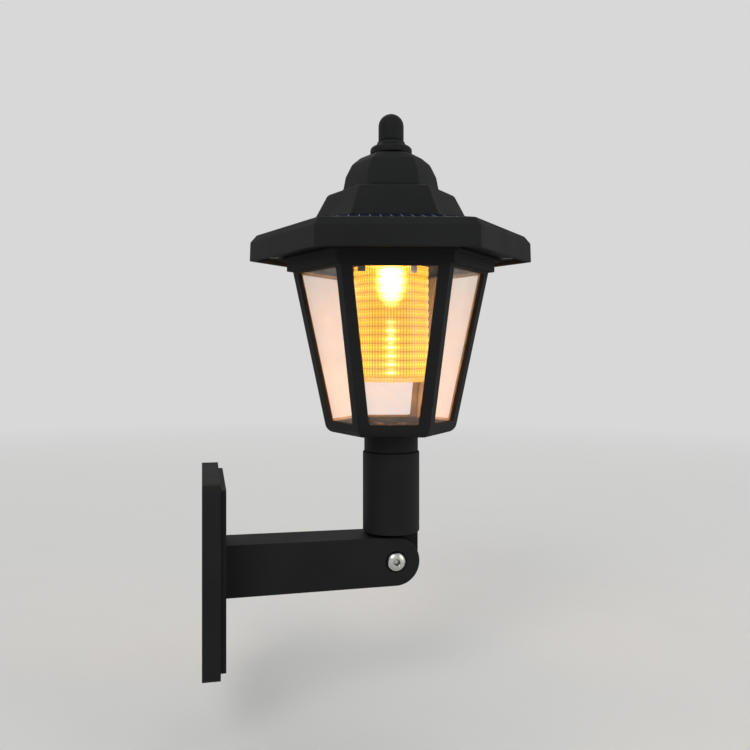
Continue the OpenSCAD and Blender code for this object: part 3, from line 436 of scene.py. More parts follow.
def solarCells():
    material, tree, shader, coords = newMaterial("solarCells")
    flat = addNode(tree, "UVMap", uv_map="flat")
    down, across, _ = addNode(tree, "SeparateXYZ", {"Vector": flat}).node.outputs
    silicon = addNode(tree, "TexNoise", {"Vector": coords, "Scale": 1 / (5 * mm)})
    base = addNode(tree, "Mix", {0: silicon, **tones(cellLook["silicon"])}, 2, data_type="RGBA")
    for source, kind in ((down, "finger"), (across, "busbar"), (across, "gap")):
        pitch, width, shift, shade = cellLook[kind]
        moved = addNode(tree, "Math", {0: source, 1: shift}, operation="ADD")
        step = addNode(tree, "Math", {0: moved, 1: pitch}, operation="FLOORED_MODULO")
        onLine = addNode(tree, "Math", {0: step, 1: width}, operation="LESS_THAN")
        base = addNode(tree, "Mix", {0: onLine, 6: base, 7: colour(shade)}, 2, data_type="RGBA")
    # at a flat angle the gloss fades, so that the pale studio doesn't wash the dark cells out
    facing = addNode(tree, "LayerWeight", {"Blend": 0.5}, "Facing")
    kept = addNode(tree, "MapRange", {"Value": facing, **span(cellLook["fade"], "From"), **span((1.0, 0.0))})
    setInputs(shader, {
        "Base Color": base, "IOR": 1.5, "Coat Roughness": cellLook["coatRough"],
        "Specular IOR Level": addNode(tree, "Math", {0: kept, 1: cellLook["gloss"]}, operation="MULTIPLY"),
        "Coat Weight": addNode(tree, "Math", {0: kept, 1: cellLook["coat"]}, operation="MULTIPLY"),
        "Roughness": addNode(tree, "MapRange", {"Value": silicon, **span(cellLook["rough"])})})
    return material


# Glass-fibre board under green lacquer, with copper tracks under it and dark parts on top
boardLook = {"tracks": 3, "lacquer": ("#1d5a30", "#226538"), "copper": "#3a8450", "parts": "#17181a",
             "top": 151.65, "rough": (0.25, 0.4)}


def lacqueredBoard():
    material, tree, shader, coords = newMaterial("lacqueredBoard")
    tracks = addNode(tree, "TexBrick", {"Vector": coords, "Scale": 1 / (boardLook["tracks"] * mm),
                                        "Mortar Size": 0.06, "Color1": colour(boardLook["lacquer"][0]),
                                        "Color2": colour(boardLook["lacquer"][1]),
                                        "Mortar": colour(boardLook["copper"])})
    height = addNode(tree, "SeparateXYZ", {"Vector": coords}, "Z")
    above = addNode(tree, "Math", {0: height, 1: boardLook["top"] * mm}, operation="GREATER_THAN")
    patch = addNode(tree, "TexNoise", {"Vector": coords, "Scale": 1 / (2 * mm)})
    setInputs(shader, {
        "Base Color": addNode(tree, "Mix", {0: above, 6: tracks, 7: colour(boardLook["parts"])}, 2,
                              data_type="RGBA"),
        "Roughness": addNode(tree, "MapRange", {"Value": patch, **span(boardLook["rough"])}), "IOR": 1.5})
    return material


# Clear epoxy round a lit amber chip: glows white at its tip and amber at its skirt
ledLook = {"tip": 131, "skirt": 139, "skin": ("#c98a3a", "#ffdc96"), "light": ("#ff8a18", "#ffd27a"),
           "power": 60}


def litEpoxy():
    material, tree, shader, coords = newMaterial("litEpoxy")
    height = addNode(tree, "SeparateXYZ", {"Vector": coords}, "Z")
    glow = addNode(tree, "MapRange", {"Value": height, "From Min": ledLook["tip"] * mm,
                                      "From Max": ledLook["skirt"] * mm, "To Min": 1.0, "To Max": 0.3})
    setInputs(shader, {
        "Base Color": addNode(tree, "Mix", {0: glow, **tones(ledLook["skin"])}, 2, data_type="RGBA"),
        "Emission Color": addNode(tree, "Mix", {0: glow, **tones(ledLook["light"])}, 2, data_type="RGBA"),
        "Emission Strength": addNode(tree, "Math", {0: glow, 1: ledLook["power"]}, operation="MULTIPLY"),
        "Roughness": 0.12, "IOR": 1.53})
    return material


# Battery in a shrunk green PVC sleeve, with its steel ends bare
sleeveLook = {"sleeve": ("#1f6b3a", "#2a7d48"), "steel": "#c4c5c0", "half": 20.7, "rough": (0.2, 0.34)}


def sleevedCell():
    material, tree, shader, coords = newMaterial("sleevedCell")
    back = math.radians(-lantern["turn"])
    centre = Matrix.Rotation(back, 3, "Z") @ (Vector(lantern["place"]) * mm)
    place = addNode(tree, "Mapping", {"Vector": coords, "Rotation": (0, 0, back),
                                      "Location": (-centre.x, 0, 0)})
    along = addNode(tree, "SeparateXYZ", {"Vector": place}, "X")
    reach = addNode(tree, "Math", {0: along}, operation="ABSOLUTE")
    bare = addNode(tree, "Math", {0: reach, 1: sleeveLook["half"] * mm}, operation="GREATER_THAN")
    cloud = addNode(tree, "TexNoise", {"Vector": coords, "Scale": 1 / (3 * mm)})
    sleeve = addNode(tree, "Mix", {0: cloud, **tones(sleeveLook["sleeve"])}, 2, data_type="RGBA")
    setInputs(shader, {
        "Base Color": addNode(tree, "Mix", {0: bare, 6: sleeve, 7: colour(sleeveLook["steel"])}, 2,
                              data_type="RGBA"),
        "Roughness": addNode(tree, "MapRange", {"Value": cloud, **span(sleeveLook["rough"])}),
        "Metallic": bare, "IOR": 1.5})
    return material


finishes = {"black_plastic": grainedFinish("mouldedAbs"), "clear_panes": clearStyrene(),
            "clear_lens": litStyrene(), "steel": grainedFinish("zincSteel"),
            "black_steel": grainedFinish("blackenedSteel"),
            "rubber": grainedFinish("siliconeRubber"), "solar_cells": solarCells(),
            "white_plastic": grainedFinish("whiteAbs"), "board": lacqueredBoard(), "lamp": litEpoxy(),
            "battery_sleeve": sleevedCell(), "grey_resin": grainedFinish("tintedEpoxy"),
            "switch_plastic": grainedFinish("mouldedNylon"), "wire": grainedFinish("redPvc")}
for part in frame["record"]["subparts"]:  # every solid starts with its own finish
    mesh = nodes[part["node"]].data
    mesh.materials.clear()
    mesh.materials.append(finishes[part["material_slot"]])
print("materials made:", len(finishes))

# The bracket
plate = {"width": 72, "height": 86, "step": 8, "front": 10.4, "inset": 3, "corner": 4, "wall": 2.4,
         "edge": 0.5, "rib": 1.6, "ribsAcross": (-0.235, 0, 0.235), "ribsUp": (-0.34, -0.17, 0, 0.17, 0.34),
         "ribSteps": [(6.5, 1.5), (9, 4)], "screws": (25, 32), "bore": 2.25, "headBore": 4.5,
         "headFloor": 8, "lead": (4.4, 5.4, 10.1, 11.1), "bossWall": 1.2, "filled": 9.4, "pad": 2.6,
         "armWidth": 22, "armHeight": 24.7, "armSeat": 9.2, "armScrews": (-8.5, 4.5),
         "armScrewBore": 1.8, "armScrewHead": (3.6, 4.7), "through": (-1, 12)}


def makeWallPlate():
    half, tall = plate["width"] / 2, plate["height"] / 2
    obj = block("wallPlate", (0, -half, -tall), (plate["step"], half, tall))
    pick(obj, "EDGE", lambda a, b: abs(a.x - b.x) > 1)
    bpy.ops.mesh.bevel(offset=plate["corner"] * mm, segments=7, affect="EDGES")
    pick(obj, "FACE", lambda c, n: n.x > 0.9)
    bpy.ops.mesh.inset(thickness=plate["inset"] * mm)
    extrude(plate["front"] - plate["step"])
    pick(obj, "FACE", lambda c, n: n.x < -0.9)
    bpy.ops.mesh.inset(thickness=plate["wall"] * mm)
    extrude(plate["step"] - plate["wall"])
    bpy.ops.mesh.inset(thickness=plate["inset"] * mm)
    extrude(plate["wall"])
    softenEdges(obj, plate["edge"], 40, 3)

    # ribs, screw bosses and the pad behind the arm
    filling = []
    thick = plate["rib"] / 2
    for share in plate["ribsAcross"]:
        for deep, short in plate["ribSteps"]:
            mid, long = share * plate["width"], tall - short
            filling.append(block("rib", (0, mid - thick, -long), (deep, mid + thick, long)))
    for share in plate["ribsUp"]:
        for deep, short in plate["ribSteps"]:
            mid, long = share * plate["height"], half - short
            filling.append(block("rib", (0, -long, mid - thick), (deep, long, mid + thick)))
    (outY, outZ), filled, head = plate["screws"], plate["filled"], plate["headBore"]
    corners = [(0, y, z) for y in (-outY, outY) for z in (-outZ, outZ)]
    for place in corners:
        filling.append(rod("boss", head + plate["bossWall"], 0, filled, "X", place=place))
    middle = lantern["place"][2]
    seatY, seatZ = plate["armWidth"] / 2, plate["armHeight"] / 2
    padY, padZ = seatY + plate["pad"], seatZ + plate["pad"]
    filling.append(block("pad", (0, -padY, middle - padZ), (filled, padY, middle + padZ)))
    combine(obj, joined(filling), "UNION")

    cutters = []
    narrow, wide, leadLow, leadHigh = plate["lead"]
    back, front = plate["through"]
    for place in corners:
        cutters.append(rod("bore", plate["bore"], back, front, "X", place=place))
        cutters.append(rod("headBore", head, plate["headFloor"], front, "X", place=place))
        cutters.append(rod("lead", narrow, leadLow, leadHigh, "X", place=place, tip=wide))
    screwHead, screwSeat = plate["armScrewHead"]
    for z in plate["armScrews"]:
        cutters.append(rod("armScrewBore", plate["armScrewBore"], back, front, "X", place=(0, 0, z)))
        cutters.append(rod("armScrewHead", screwHead, back, screwSeat, "X", place=(0, 0, z)))
    cutters.append(block("seat", (plate["armSeat"], -seatY, middle - seatZ), (front, seatY, middle + seatZ)))
    combine(obj, joined(cutters))
    finishPiece(obj, "bracket", ["wall_plate"], "black_plastic")


arm = {"reach": 92.3, "height": -2, "radius": 11.8, "half": 11, "root": 24.7, "foot": 1.2, "edge": 0.7,
       "slot": 4.95, "slotBack": 12.6, "bore": 2.6, "headBore": 5.15, "recess": 1,
       "lead": (6.3, 5.0, -11.8, -10.75), "nutPocket": 8.1, "cavity": (14, 77.3), "wall": 2.4, "rib": 1.6,
       "ribFoot": -10.35, "boss": (3.3, 13.5, 24), "through": 40}


def makeArm():
    reach, height, half = arm["reach"], arm["height"], arm["half"]
    place = (reach, 0, height)
    obj = rod("bracketArm", arm["radius"], -half, half, "Y", 96, place)
    pickAll(obj)
    bpy.ops.mesh.bisect(plane_co=(reach * mm, 0, 0), plane_no=(-1, 0, 0), clear_outer=True, use_fill=True)
    objectMode()
    pick(obj, "FACE", lambda c, n: n.x < -0.9)
    extrude(plate["front"] - reach)
    grow = arm["root"] / 2 / arm["radius"]
    bpy.ops.transform.resize(value=(1, 1, grow), center_override=(0, 0, height * mm))
    extrude(-arm["foot"])
    softenEdges(obj, arm["edge"], 60, 3)

    slot, far = arm["slot"], arm["through"]
    wide, narrow, leadLow, leadHigh = arm["lead"]
    cutters = [block("slot", (reach - arm["slotBack"], -slot, -far), (reach + far, slot, far)),
               rod("boltBore", arm["bore"], -far, far, "Y", place=place),
               rod("headRecess", arm["headBore"], -far, arm["recess"] - half, "Y", place=place),
               rod("recessLead", wide, leadLow, leadHigh, "Y", place=place, tip=narrow),
               rod("nutPocket", arm["nutPocket"] / 2 / hexFlat, nut["seat"], far, "Y", 6, place)]
    back, front = arm["cavity"]
    third, ribHalf = (front - back) / 3, arm["rib"] / 2
    side, top = half - arm["wall"], height + arm["radius"] - arm["wall"]
    for i in range(3):
        start = back + i * third + (ribHalf if i else 0)
        stop = back + (i + 1) * third - (ribHalf if i < 2 else 0)
        cutters.append(block("cavity", (start, -side, -far), (stop, side, top)))
    cutters.append(block("ribFoot", (back + 1, -side, -far), (front - 1, side, arm["ribFoot"])))
    combine(obj, joined(cutters))
    radius, low, high = arm["boss"]
    bosses = [rod("boss", radius, low, high, "X", 48, (0, 0, z)) for z in plate["armScrews"]]
    combine(obj, joined(bosses), "UNION")
    finishPiece(obj, "bracket", ["arm"], "black_plastic")


bolt = {"head": 4.75, "height": 2.75, "rim": 0.6, "edge": 0.15, "top": 2.4, "dome": 62, "domeSteps": 8,
        "seat": -10, "length": 20, "chamfer": 0.5, "thread": (2.1, 2.5), "pitch": 0.8, "turns": 11,
        "socket": 3, "socketFloor": 1.15, "socketTurn": 8, "drill": (1.5, 0.55),
        "lead": (-0.1, 0.45, 2.55, 3.05)}


def makeElbowBolt():
    root, crest = bolt["thread"]
    head, rim, edge, pitch = bolt["head"], bolt["rim"], bolt["edge"], bolt["pitch"]
    threadLow = bolt["chamfer"] - bolt["length"]
    profile = [(root, -bolt["length"]), (crest, threadLow)]
    for i in range(bolt["turns"]):  # the thread's crests and roots, as rings
        low = threadLow + i * pitch
        profile += [(root, low + 0.4 * pitch), (crest, low + 0.8 * pitch), (crest, low + pitch)]
    profile += [(crest, -0.01), (head - edge, 0), (head, edge), (head, rim)]
    dome = math.radians(bolt["dome"])
    for i in range(1, bolt["domeSteps"] + 1):  # the button's dome
        angle = dome * i / bolt["domeSteps"]
        rise = math.sin(angle) / math.sin(dome)
        drop = (1 - math.cos(angle)) / (1 - math.cos(dome))
        profile.append((head - (head - bolt["top"]) * drop, rim + (bolt["height"] - rim) * rise))
    obj = turned("elbowBolt", profile, 64)
    corner, floor = bolt["socket"] / 2 / hexFlat, bolt["socketFloor"]
    drill, drillFloor = bolt["drill"]
    narrow, wide, leadLow, leadHigh = bolt["lead"]
    cutters = [rod("socket", corner, floor, 4, sides=6, turn=bolt["socketTurn"]),
               rod("drill", drill, drillFloor, floor + 0.05),
               rod("lead", corner + narrow, leadLow, leadHigh, sides=32, tip=corner + wide)]
    combine(obj, joined(cutters))
    obj.rotation_euler = (math.pi / 2, 0, 0)
    obj.location = Vector((arm["reach"], bolt["seat"], arm["height"])) * mm
    applyPlace(obj)
    finishPiece(obj, "bracket", ["elbow_bolt"], "steel", weighted=False)


nut = {"across": 8, "thick": 2.7, "face": 4.05, "chamfer": 0.45, "bore": 2.5, "seat": 7.3}


def makeElbowNut():
    corner, face = nut["across"] / 2 / hexFlat, nut["face"]
    thick, chamfer = nut["thick"], nut["chamfer"]
    obj = rod("elbowNut", corner, 0, thick, sides=6)
    outline = [(face, 0), (corner, chamfer), (corner, thick - chamfer), (face, thick)]
    combine(obj, turned("chamfer", outline, 64), "INTERSECT")
    combine(obj, rod("threadBore", nut["bore"], -1, thick + 1))
    obj.rotation_euler = (-math.pi / 2, 0, 0)
    obj.location = Vector((arm["reach"], nut["seat"], arm["height"])) * mm
    applyPlace(obj)
    finishPiece(obj, "bracket", ["elbow_nut"], "steel", weighted=False)


makeWallPlate()
makeArm()
makeElbowBolt()
makeElbowNut()
print("bracket modelled")

# The stem and the neck, in heights above the elbow's axis
stem = {"radius": 14.1, "bore": 12.55, "low": 13.25, "high": 52.75, "floor": 18, "edge": 0.5,
        "mouth": (0.2, 0.3), "tongue": 11, "half": 4, "root": 1.5, "heel": (12.7, 3), "boltBore": 2.55}


def makeStem():
    r, e, bore, low, high = stem["radius"], stem["edge"], stem["bore"], stem["low"], stem["high"]
    wider, deep = stem["mouth"]
    profile = [(r - e, low), (r - 0.3 * e, low + 0.3 * e), (r, low + e), (r, high - e),
               (r - 0.3 * e, high - 0.3 * e), (r - e, high), (bore + wider, high), (bore, high - deep),
               (bore, stem["floor"])]
    obj = turned("stemTube", profile, 96)
    reach, half, top = stem["tongue"], stem["half"], low + stem["root"]
    heelReach, heelLow = stem["heel"]
    tongue = rod("tongue", reach, -half, half, "Y", 96)
    root = block("root", (-reach, -half, 0), (reach, half, top))
    heel = block("heel", (0, -half, heelLow), (heelReach, half, top))
    combine(obj, joined([tongue, root, heel]), "UNION")
    combine(obj, rod("boltBore", stem["boltBore"], -half - 2, half + 2, "Y"))
    obj.location = Vector(lantern["place"]) * mm
    applyPlace(obj)
    finishPiece(obj, "stem", ["stem_tube"], "black_plastic")


neck = {"radius": 13.4, "edge": 0.3, "round": 0.08, "plug": 12.5, "chamfer": 0.8, "bore": 10.5,
        "low": 28.05, "seat": 53.05, "floor": 59, "high": 62}


def makeNeck():
    r, e, plug, bore = neck["radius"], neck["edge"], neck["plug"], neck["bore"]
    low, seat, high, chamfer = neck["low"], neck["seat"], neck["high"], neck["chamfer"]
    profile = [(bore, neck["floor"]), (bore, low), (plug - chamfer, low), (plug, low + chamfer), (plug, seat),
               (r - e, seat), (r - neck["round"], seat + neck["round"]), (r, seat + e), (r, high - e),
               (r, high)]
    obj = turned("neckSpigot", profile, 96)
    finishPiece(obj, "lantern", ["neck_spigot"], "black_plastic", inLantern=True)


makeStem()
makeNeck()
print("stem and neck modelled")

# The cage and its panes
cage = {"low": 62, "high": 145.9, "lowRadius": 32, "slope": 17 / 80, "round": 5, "roundSteps": 5,
        "wall": 2.2, "floor": 2.5, "window": (18, 60), "post": 5.1, "sill": 68.2, "head": 140.9,
        "corner": 0.9, "edge": 0.3}
cageTilt = math.atan(cage["slope"] * hexFlat)


def cageRadius(z):
    return cage["lowRadius"] + cage["slope"] * (z - cage["low"])


def makeCage():
    low, high, steps, sill, head = cage["low"], cage["high"], cage["roundSteps"], cage["sill"], cage["head"]
    lean = math.degrees(math.atan(cage["slope"]))
    centre = cage["lowRadius"] - cage["round"] * (1 - cage["slope"])
    profile = []
    for i in range(steps + 1):
        a = math.radians(-90 + i * (90 - lean) / steps)
        profile.append((centre + cage["round"] * math.cos(a), low + cage["round"] * (1 + math.sin(a))))
    inner = cage["wall"] / (math.cos(cageTilt) * hexFlat)
    floor = low + cage["floor"]
    profile += [(cageRadius(high), high), (cageRadius(high) - inner, high),
                (cageRadius(floor) - inner, floor)]
    obj = turned("cageFrame", profile, 6)

    windows = []
    near, far = cage["window"]
    halfLow = cageRadius(sill) / 2 - cage["post"]
    halfHigh = cageRadius(head) / 2 - cage["post"]
    for k in range(6):
        window = block("window", (near, -halfLow, sill), (far, halfLow, head))
        pick(window, "VERT", lambda p: p.z > sill + 1)
        bpy.ops.transform.resize(value=(1, halfHigh / halfLow, 1), center_override=(0, 0, 0))
        pick(window, "EDGE", lambda a, b: abs(a.x - b.x) > 1)
        bpy.ops.mesh.bevel(offset=cage["corner"] * mm, segments=4, affect="EDGES")
        objectMode()
        window.rotation_euler = (0, 0, math.radians(30 + 60 * k))
        windows.append(applyPlace(window))
    combine(obj, joined(windows))
    softenEdges(obj, cage["edge"], 35, clamp=False)
    finishPiece(obj, "lantern", ["cage_frame"], "black_plastic", inLantern=True, smooth=40)


pane = {"front": 2.23, "back": 3.63, "low": 4.88, "high": 80.98, "halfLow": 14.22, "halfHigh": 22.17,
        "edge": 0.18}


def makePanes():
    half, low = pane["halfLow"], pane["low"]
    first = block("pane1", (-pane["back"], -half, low), (-pane["front"], half, pane["high"]))
    pick(first, "VERT", lambda p: p.z > low + 1)
    bpy.ops.transform.resize(value=(1, pane["halfHigh"] / half, 1), center_override=(0, 0, 0))
    softenEdges(first, pane["edge"])
    panes = ringOfSix(first, "pane", cage["lowRadius"] * hexFlat, cage["low"], cageTilt)
    for k, obj in enumerate(panes, 1):
        finishPiece(obj, "lantern", [f"pane_{k}"], "clear_panes", inLantern=True)


makeCage()
makePanes()
softCopy("collar_ring", "collarRing", "lantern", "black_plastic", 0.3)
print("cage modelled")

# The roof
brim = {"low": (70.5, 147), "shoulder": (70.2, 156.4), "edge": (67, 160), "foot": (40, 165), "wall": 2.3,
        "margin": 2.3, "sink": 1.2, "soft": 0.45, "boss": (2.75, 151.4, 160.6), "bossOut": 58.5}


def makeBrim():
    wall, edge, foot = brim["wall"], brim["edge"], brim["foot"]
    innerLow = (brim["low"][0] - wall / hexFlat, brim["low"][1])
    profile = [innerLow, brim["low"], brim["shoulder"], edge, foot, (foot[0] - wall, foot[1] - wall),
               (edge[0] - wall, edge[1] - wall), innerLow]
    obj = turned("roofBrim", profile, 6, closed=True)
    pick(obj, "FACE", lambda c, n: n.z > 0.9 and c.z > edge[1] and math.hypot(c.x, c.y) > foot[0])
    bpy.ops.mesh.inset(use_individual=True, thickness=brim["margin"] * mm)
    bpy.ops.mesh.extrude_faces_move(TRANSFORM_OT_shrink_fatten={"value": -brim["sink"] * mm})
    softenEdges(obj, brim["soft"], 25, 3)
    bosses = []
    radius, low, high = brim["boss"]
    for k in range(6):
        place = Matrix.Rotation(math.radians(60 * k), 3, "Z") @ Vector((brim["bossOut"], 0, 0))
        bosses.append(rod("boss", radius, low, high, sides=32, place=place))
    combine(obj, joined(bosses), "UNION")
    finishPiece(obj, "roof", ["roof_brim"], "black_plastic", inLantern=True)


crown = {"tier": [(40, 165), (31.9, 180)], "domeFoot": (24.2, 182.5), "domeTop": (10, 200.5),
         "bends": [(0.09, 0.36), (0.31, 0.71), (0.61, 0.9)], "edge": 0.8, "bore": 2.25}


def makeCrown():
    (footR, footZ), (topR, topZ), bore = crown["domeFoot"], crown["domeTop"], crown["bore"]
    outside = crown["tier"] + [crown["domeFoot"]]
    outside += [(footR - a * (footR - topR), footZ + b * (topZ - footZ)) for a, b in crown["bends"]]
    outside.append(crown["domeTop"])
    inside = [(r - brim["wall"], z - brim["wall"]) for r, z in outside]
    profile = outside + [(bore, topZ), (bore, topZ - brim["wall"])] + inside[::-1] + outside[:1]
    obj = turned("roofCrown", profile, 6, closed=True)
    softenEdges(obj, crown["edge"], 14, 3)
    finishPiece(obj, "roof", ["roof_crown"], "black_plastic", inLantern=True)


finial = {"low": 200.5, "high": 206.75, "bore": 2.25, "screwBore": (1.97, 212), "knob": (6.3, 214.45),
          "ring": [(10.1, 200.5), (10.35, 200.6), (10.4, 200.9), (10.4, 202.4), (10.25, 203.1),
                   (9.8, 203.7), (9.1, 204.2), (8.2, 204.65), (7.5, 205.15), (7.05, 205.75),
                   (6.85, 206.4), (6.7, 206.75)],
          "foot": [(5.3, 206.75), (5.7, 206.85), (6.15, 207.3), (6.3, 207.8)]}


def makeFinial():
    low, high, bore = finial["low"], finial["high"], finial["bore"]
    outline = [(bore, low)] + finial["ring"] + [(bore, high), (bore, low)]
    ring = turned("finialRing", outline, 96, closed=True)
    finishPiece(ring, "roof", ["finial_ring"], "black_plastic", inLantern=True)
    (radius, middle), (bore, boreTop) = finial["knob"], finial["screwBore"]
    outline = [(bore, boreTop), (bore, high)] + finial["foot"]
    outline += [(radius * math.cos(math.radians(a)), middle + radius * math.sin(math.radians(a)))
                for a in range(0, 90, 9)]
    obj = turned("finial", outline + [(0.3, middle + radius)], 96)
    finishPiece(obj, "roof", ["finial"], "black_plastic", inLantern=True)


panel = {"top": -21.51, "bottom": -2.4, "halfTop": 18.75, "halfBottom": 29.54, "thick": 1.2, "border": 0.5,
         "borderEdge": 0.2, "edge": 0.15}


def makeSolarPanels():
    (edgeR, edgeZ), (footR, footZ) = brim["edge"], brim["foot"]
    half, low = panel["halfTop"], panel["bottom"]
    first = block("solarPanel1", (panel["top"], -half, -panel["thick"]), (low, half, 0))
    pick(first, "VERT", lambda p: p.x > low - 1)
    bpy.ops.transform.resize(value=(1, panel["halfBottom"] / half, 1), center_override=(0, 0, 0))
    pick(first, "FACE", lambda c, n: n.z > 0.9)
    bpy.ops.mesh.inset(thickness=panel["border"] * mm)
    bpy.ops.mesh.bevel(offset=panel["borderEdge"] * mm, segments=2, affect="EDGES")
    softenEdges(first, panel["edge"], 40)
    uv = first.data.uv_layers.new(name="flat")
    for loop in first.data.loops:  # millimetres down the slope and across it
        p = first.data.vertices[loop.vertex_index].co / mm
        uv.data[loop.index].uv = (p.x, p.y)
    tilt = math.atan((footZ - edgeZ) / (edgeR - footR) / hexFlat)
    panels = ringOfSix(first, "solarPanel", edgeR * hexFlat, edgeZ, tilt)
    for k, obj in enumerate(panels, 1):
        finishPiece(obj, "roof", [f"solar_panel_{k}"], "solar_cells", inLantern=True)


# The base's screws have flat heads here, sunk nearly flush, where the solids have pan heads
baseScrew = {"seat": 149, "proud": 0.15, "head": 2.7, "rim": 0.2, "sink": 1.5, "shank": 1.25, "length": 8,
             "tip": (0.5, 0.8), "slot": 0.6, "slotReach": 1.35, "slotDeep": 0.8, "turn": 25}


def makeBaseScrews():
    seat, head, shank = baseScrew["seat"], baseScrew["head"], baseScrew["shank"]
    end, (tip, tipLong) = seat + baseScrew["length"], baseScrew["tip"]
    outline = [(head - baseScrew["rim"], seat - baseScrew["proud"]), (head, seat - 0.02),
               (shank, seat + baseScrew["sink"]), (shank, end - tipLong), (tip, end)]
    screw = turned("baseScrews", outline, 32)
    half, reach, deep = baseScrew["slot"] / 2, baseScrew["slotReach"], seat + baseScrew["slotDeep"]
    combine(screw, block("slot", (-reach, -half, seat - 1), (reach, half, deep)))
    combine(screw, block("slot", (-half, -reach, seat - 1), (half, reach, deep)))
    screw.rotation_euler = (0, 0, math.radians(baseScrew["turn"]))
    screws = ringOfSix(applyPlace(screw), "baseScrews", brim["bossOut"], start=0)
    finishPiece(joined(screws), "roof", ["base_screws"], "black_steel", inLantern=True)


makeBrim()
makeCrown()
makeFinial()
makeSolarPanels()
makeBaseScrews()
softCopy("roof_base", "roofBase", "roof", "black_plastic", 0.25)
print("roof modelled")

# The lens, with the small pieces beside it
lens = {"low": 87.5, "floor": 89.5, "fluted": (117, 143), "ribTop": 143.2, "flangeLow": 145.8, "top": 147.6,
        "radius": 18.75, "rib": 0.45, "pitch": 4.1, "ribs": 13, "ribSteps": 5, "bore": 16.3, "flange": 20.5,
        "flutes": 108, "flute": 0.16, "foot": [(2, 0), (1.35, 0.35), (0.75, 0.9)],
        "well": [(0, 2), (0.8, 0.5), (2, 0)], "mouth": (0.2, 0.6)}


def makeLens():
    radius, rib, bore, flange = lens["radius"], lens["rib"], lens["bore"], lens["flange"]
    low, floor, ribTop = lens["low"], lens["floor"], lens["ribTop"]
    flangeLow, top = lens["flangeLow"], lens["top"]
    valley = radius - rib
    start = ribTop - lens["ribs"] * lens["pitch"]
    profile = [(radius - inwards, low + up) for inwards, up in lens["foot"]] + [(valley, start - 0.2)]
    for i in range(lens["ribs"]):
        for j in range(lens["ribSteps"]):
            share = j / lens["ribSteps"]
            bulge = rib * math.sin(math.pi * share) ** 0.8
            profile.append((valley + bulge, start + (i + share) * lens["pitch"]))
    (wider, deep), (flutesLow, flutesTop) = lens["mouth"], lens["fluted"]
    profile += [(valley, ribTop), (radius, ribTop + 0.3), (radius, flangeLow), (flange, flangeLow),
                (flange, top), (bore + wider, top), (bore + wider, top - deep), (bore, flutesTop),
                (bore, flutesLow)]
    profile += [(bore - inwards, floor + up) for inwards, up in lens["well"]]
    sides = 2 * lens["flutes"]
    obj = turned("lensTube", profile, sides)

    def inFlute(p):  # every second point of the bore, to be pushed outwards into a flute
        step = round(math.degrees(math.atan2(p.y, p.x)) / (360 / sides))
        return abs(math.hypot(p.x, p.y) - bore) < 0.05 and step % 2 == 0

    pick(obj, "VERT", inFlute)
    grow = 1 + lens["flute"] / bore
    bpy.ops.transform.resize(value=(grow, grow, 1), center_override=(0, 0, 0))
    objectMode()
    finishPiece(obj, "roof", ["lens_tube"], "clear_lens", inLantern=True, smooth=50, weighted=False)


makeLens()
softCopy("switch_knob", "switchKnob", "switch", "switch_plastic", 0.3)
softCopy("switch_body", "switchBody", "roof", "switch_plastic", 0.15)
softCopy("reflector", "reflectorDisc", "roof", "white_plastic", 0.2)
print("lens and lamp modelled")

# The studio
studio = {"floor": ("#d3d3d1", "#d6d6d4"), "floorPlace": (90, 0, -76), "size": 2600, "fade": (0.35, 1.5),
          "world": "#d8d8d8", "worldLight": 0.72, "aim": (0.08, 0, 0.08), "lampSize": 0.7,
          "lamps": {"keyLight": ((-0.5, -0.9, 0.9), 4.5), "fillLight": ((1.0, -0.7, 0.4), 2.2),
                    "rimLight": ((0.2, 0.9, 1.0), 1.6)}}


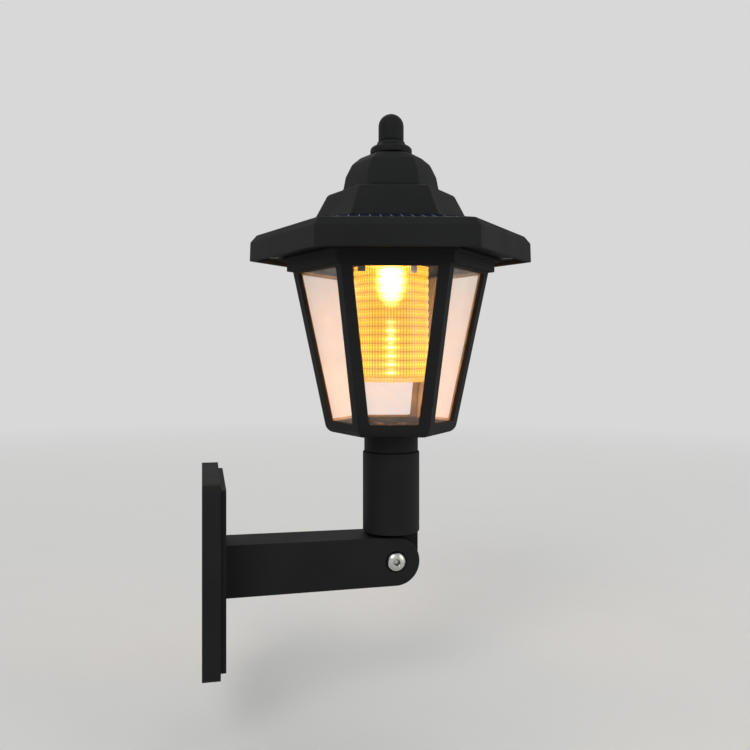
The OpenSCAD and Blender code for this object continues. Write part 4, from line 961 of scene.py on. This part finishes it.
def makeFloor():
    objectMode()
    bpy.ops.mesh.primitive_circle_add(vertices=96, radius=studio["size"] * mm, fill_type="NGON",
                                      location=Vector(studio["floorPlace"]) * mm)
    floor = applyPlace(bpy.context.object)
    floor.name = "studioFloor"
    # matt paper whose far part fades into the pale world
    material, tree, shader, coords = newMaterial("mattPaper")
    cloud = addNode(tree, "TexNoise", {"Vector": coords, "Scale": 1 / (40 * mm), "Detail": 3.0})
    length = addNode(tree, "VectorMath", {0: coords}, "Value", operation="LENGTH")
    fade = addNode(tree, "MapRange", {"Value": length, **span(studio["fade"], "From"), **span((1.0, 0.0))})
    setInputs(shader, {
        "Base Color": addNode(tree, "Mix", {0: cloud, **tones(studio["floor"])}, 2, data_type="RGBA"),
        "Roughness": 0.95, "Specular IOR Level": 0.1})
    mix = addNode(tree, "MixShader", {0: fade, 1: addNode(tree, "BsdfTransparent"), 2: shader.outputs[0]})
    setInputs(tree.nodes["Material Output"], {"Surface": mix})
    floor.data.materials.append(material)


def makeWorld():
    world = bpy.data.worlds.new("studioWorld")
    scene.world = world
    world.use_nodes = True
    tree = world.node_tree
    tree.nodes.clear()
    path = addNode(tree, "LightPath").node.outputs
    seen = addNode(tree, "Math", {0: path["Is Camera Ray"], 1: path["Is Glossy Ray"]}, operation="MAXIMUM")
    seen = addNode(tree, "Math", {0: seen, 1: path["Is Transmission Ray"]}, operation="MAXIMUM")
    soft = addNode(tree, "Background", {"Color": colour("#ffffff"), "Strength": studio["worldLight"]})
    pale = addNode(tree, "Background", {"Color": colour(studio["world"]), "Strength": 1.0})
    mix = addNode(tree, "MixShader", {0: seen, 1: soft, 2: pale})
    setInputs(tree.nodes.new("ShaderNodeOutputWorld"), {"Surface": mix})


def newLamp(name, kind, power, place):
    lamp = bpy.data.objects.new(name, bpy.data.lights.new(name, kind))
    scene.collection.objects.link(lamp)
    lamp.data.energy = power
    lamp.location = place
    return lamp


def softLamp(name):
    place, power = studio["lamps"][name]
    lamp = newLamp(name, "AREA", power, place)
    lamp.data.shape = "DISK"
    lamp.data.size = studio["lampSize"]
    aim = Vector(studio["aim"]) - Vector(place)
    lamp.rotation_euler = aim.to_track_quat("-Z", "Y").to_euler()


# Height, power and radius of the warm light that the lamp gives: at its tip, through the lens and under it
glow = {"lampGlow": (127, 0.3, 2), "lensGlow": (108, 1.0, 12), "cageGlow": (76, 0.1, 5)}
glowTint = "#ff9a40"


def warmLight(name):
    height, power, radius = glow[name]
    lamp = newLamp(name, "POINT", power, Vector((lantern["place"][0], 0, height)) * mm)
    lamp.data.color = colour(glowTint)[:3]
    lamp.data.shadow_soft_size = radius * mm
    lamp.visible_camera = False
    lamp.visible_transmission = False
    lamp.visible_glossy = False
    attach(lamp, "roof")


makeFloor()
makeWorld()
for name in studio["lamps"]:
    softLamp(name)
for name in glow:
    warmLight(name)
print("studio set")

objectMode()
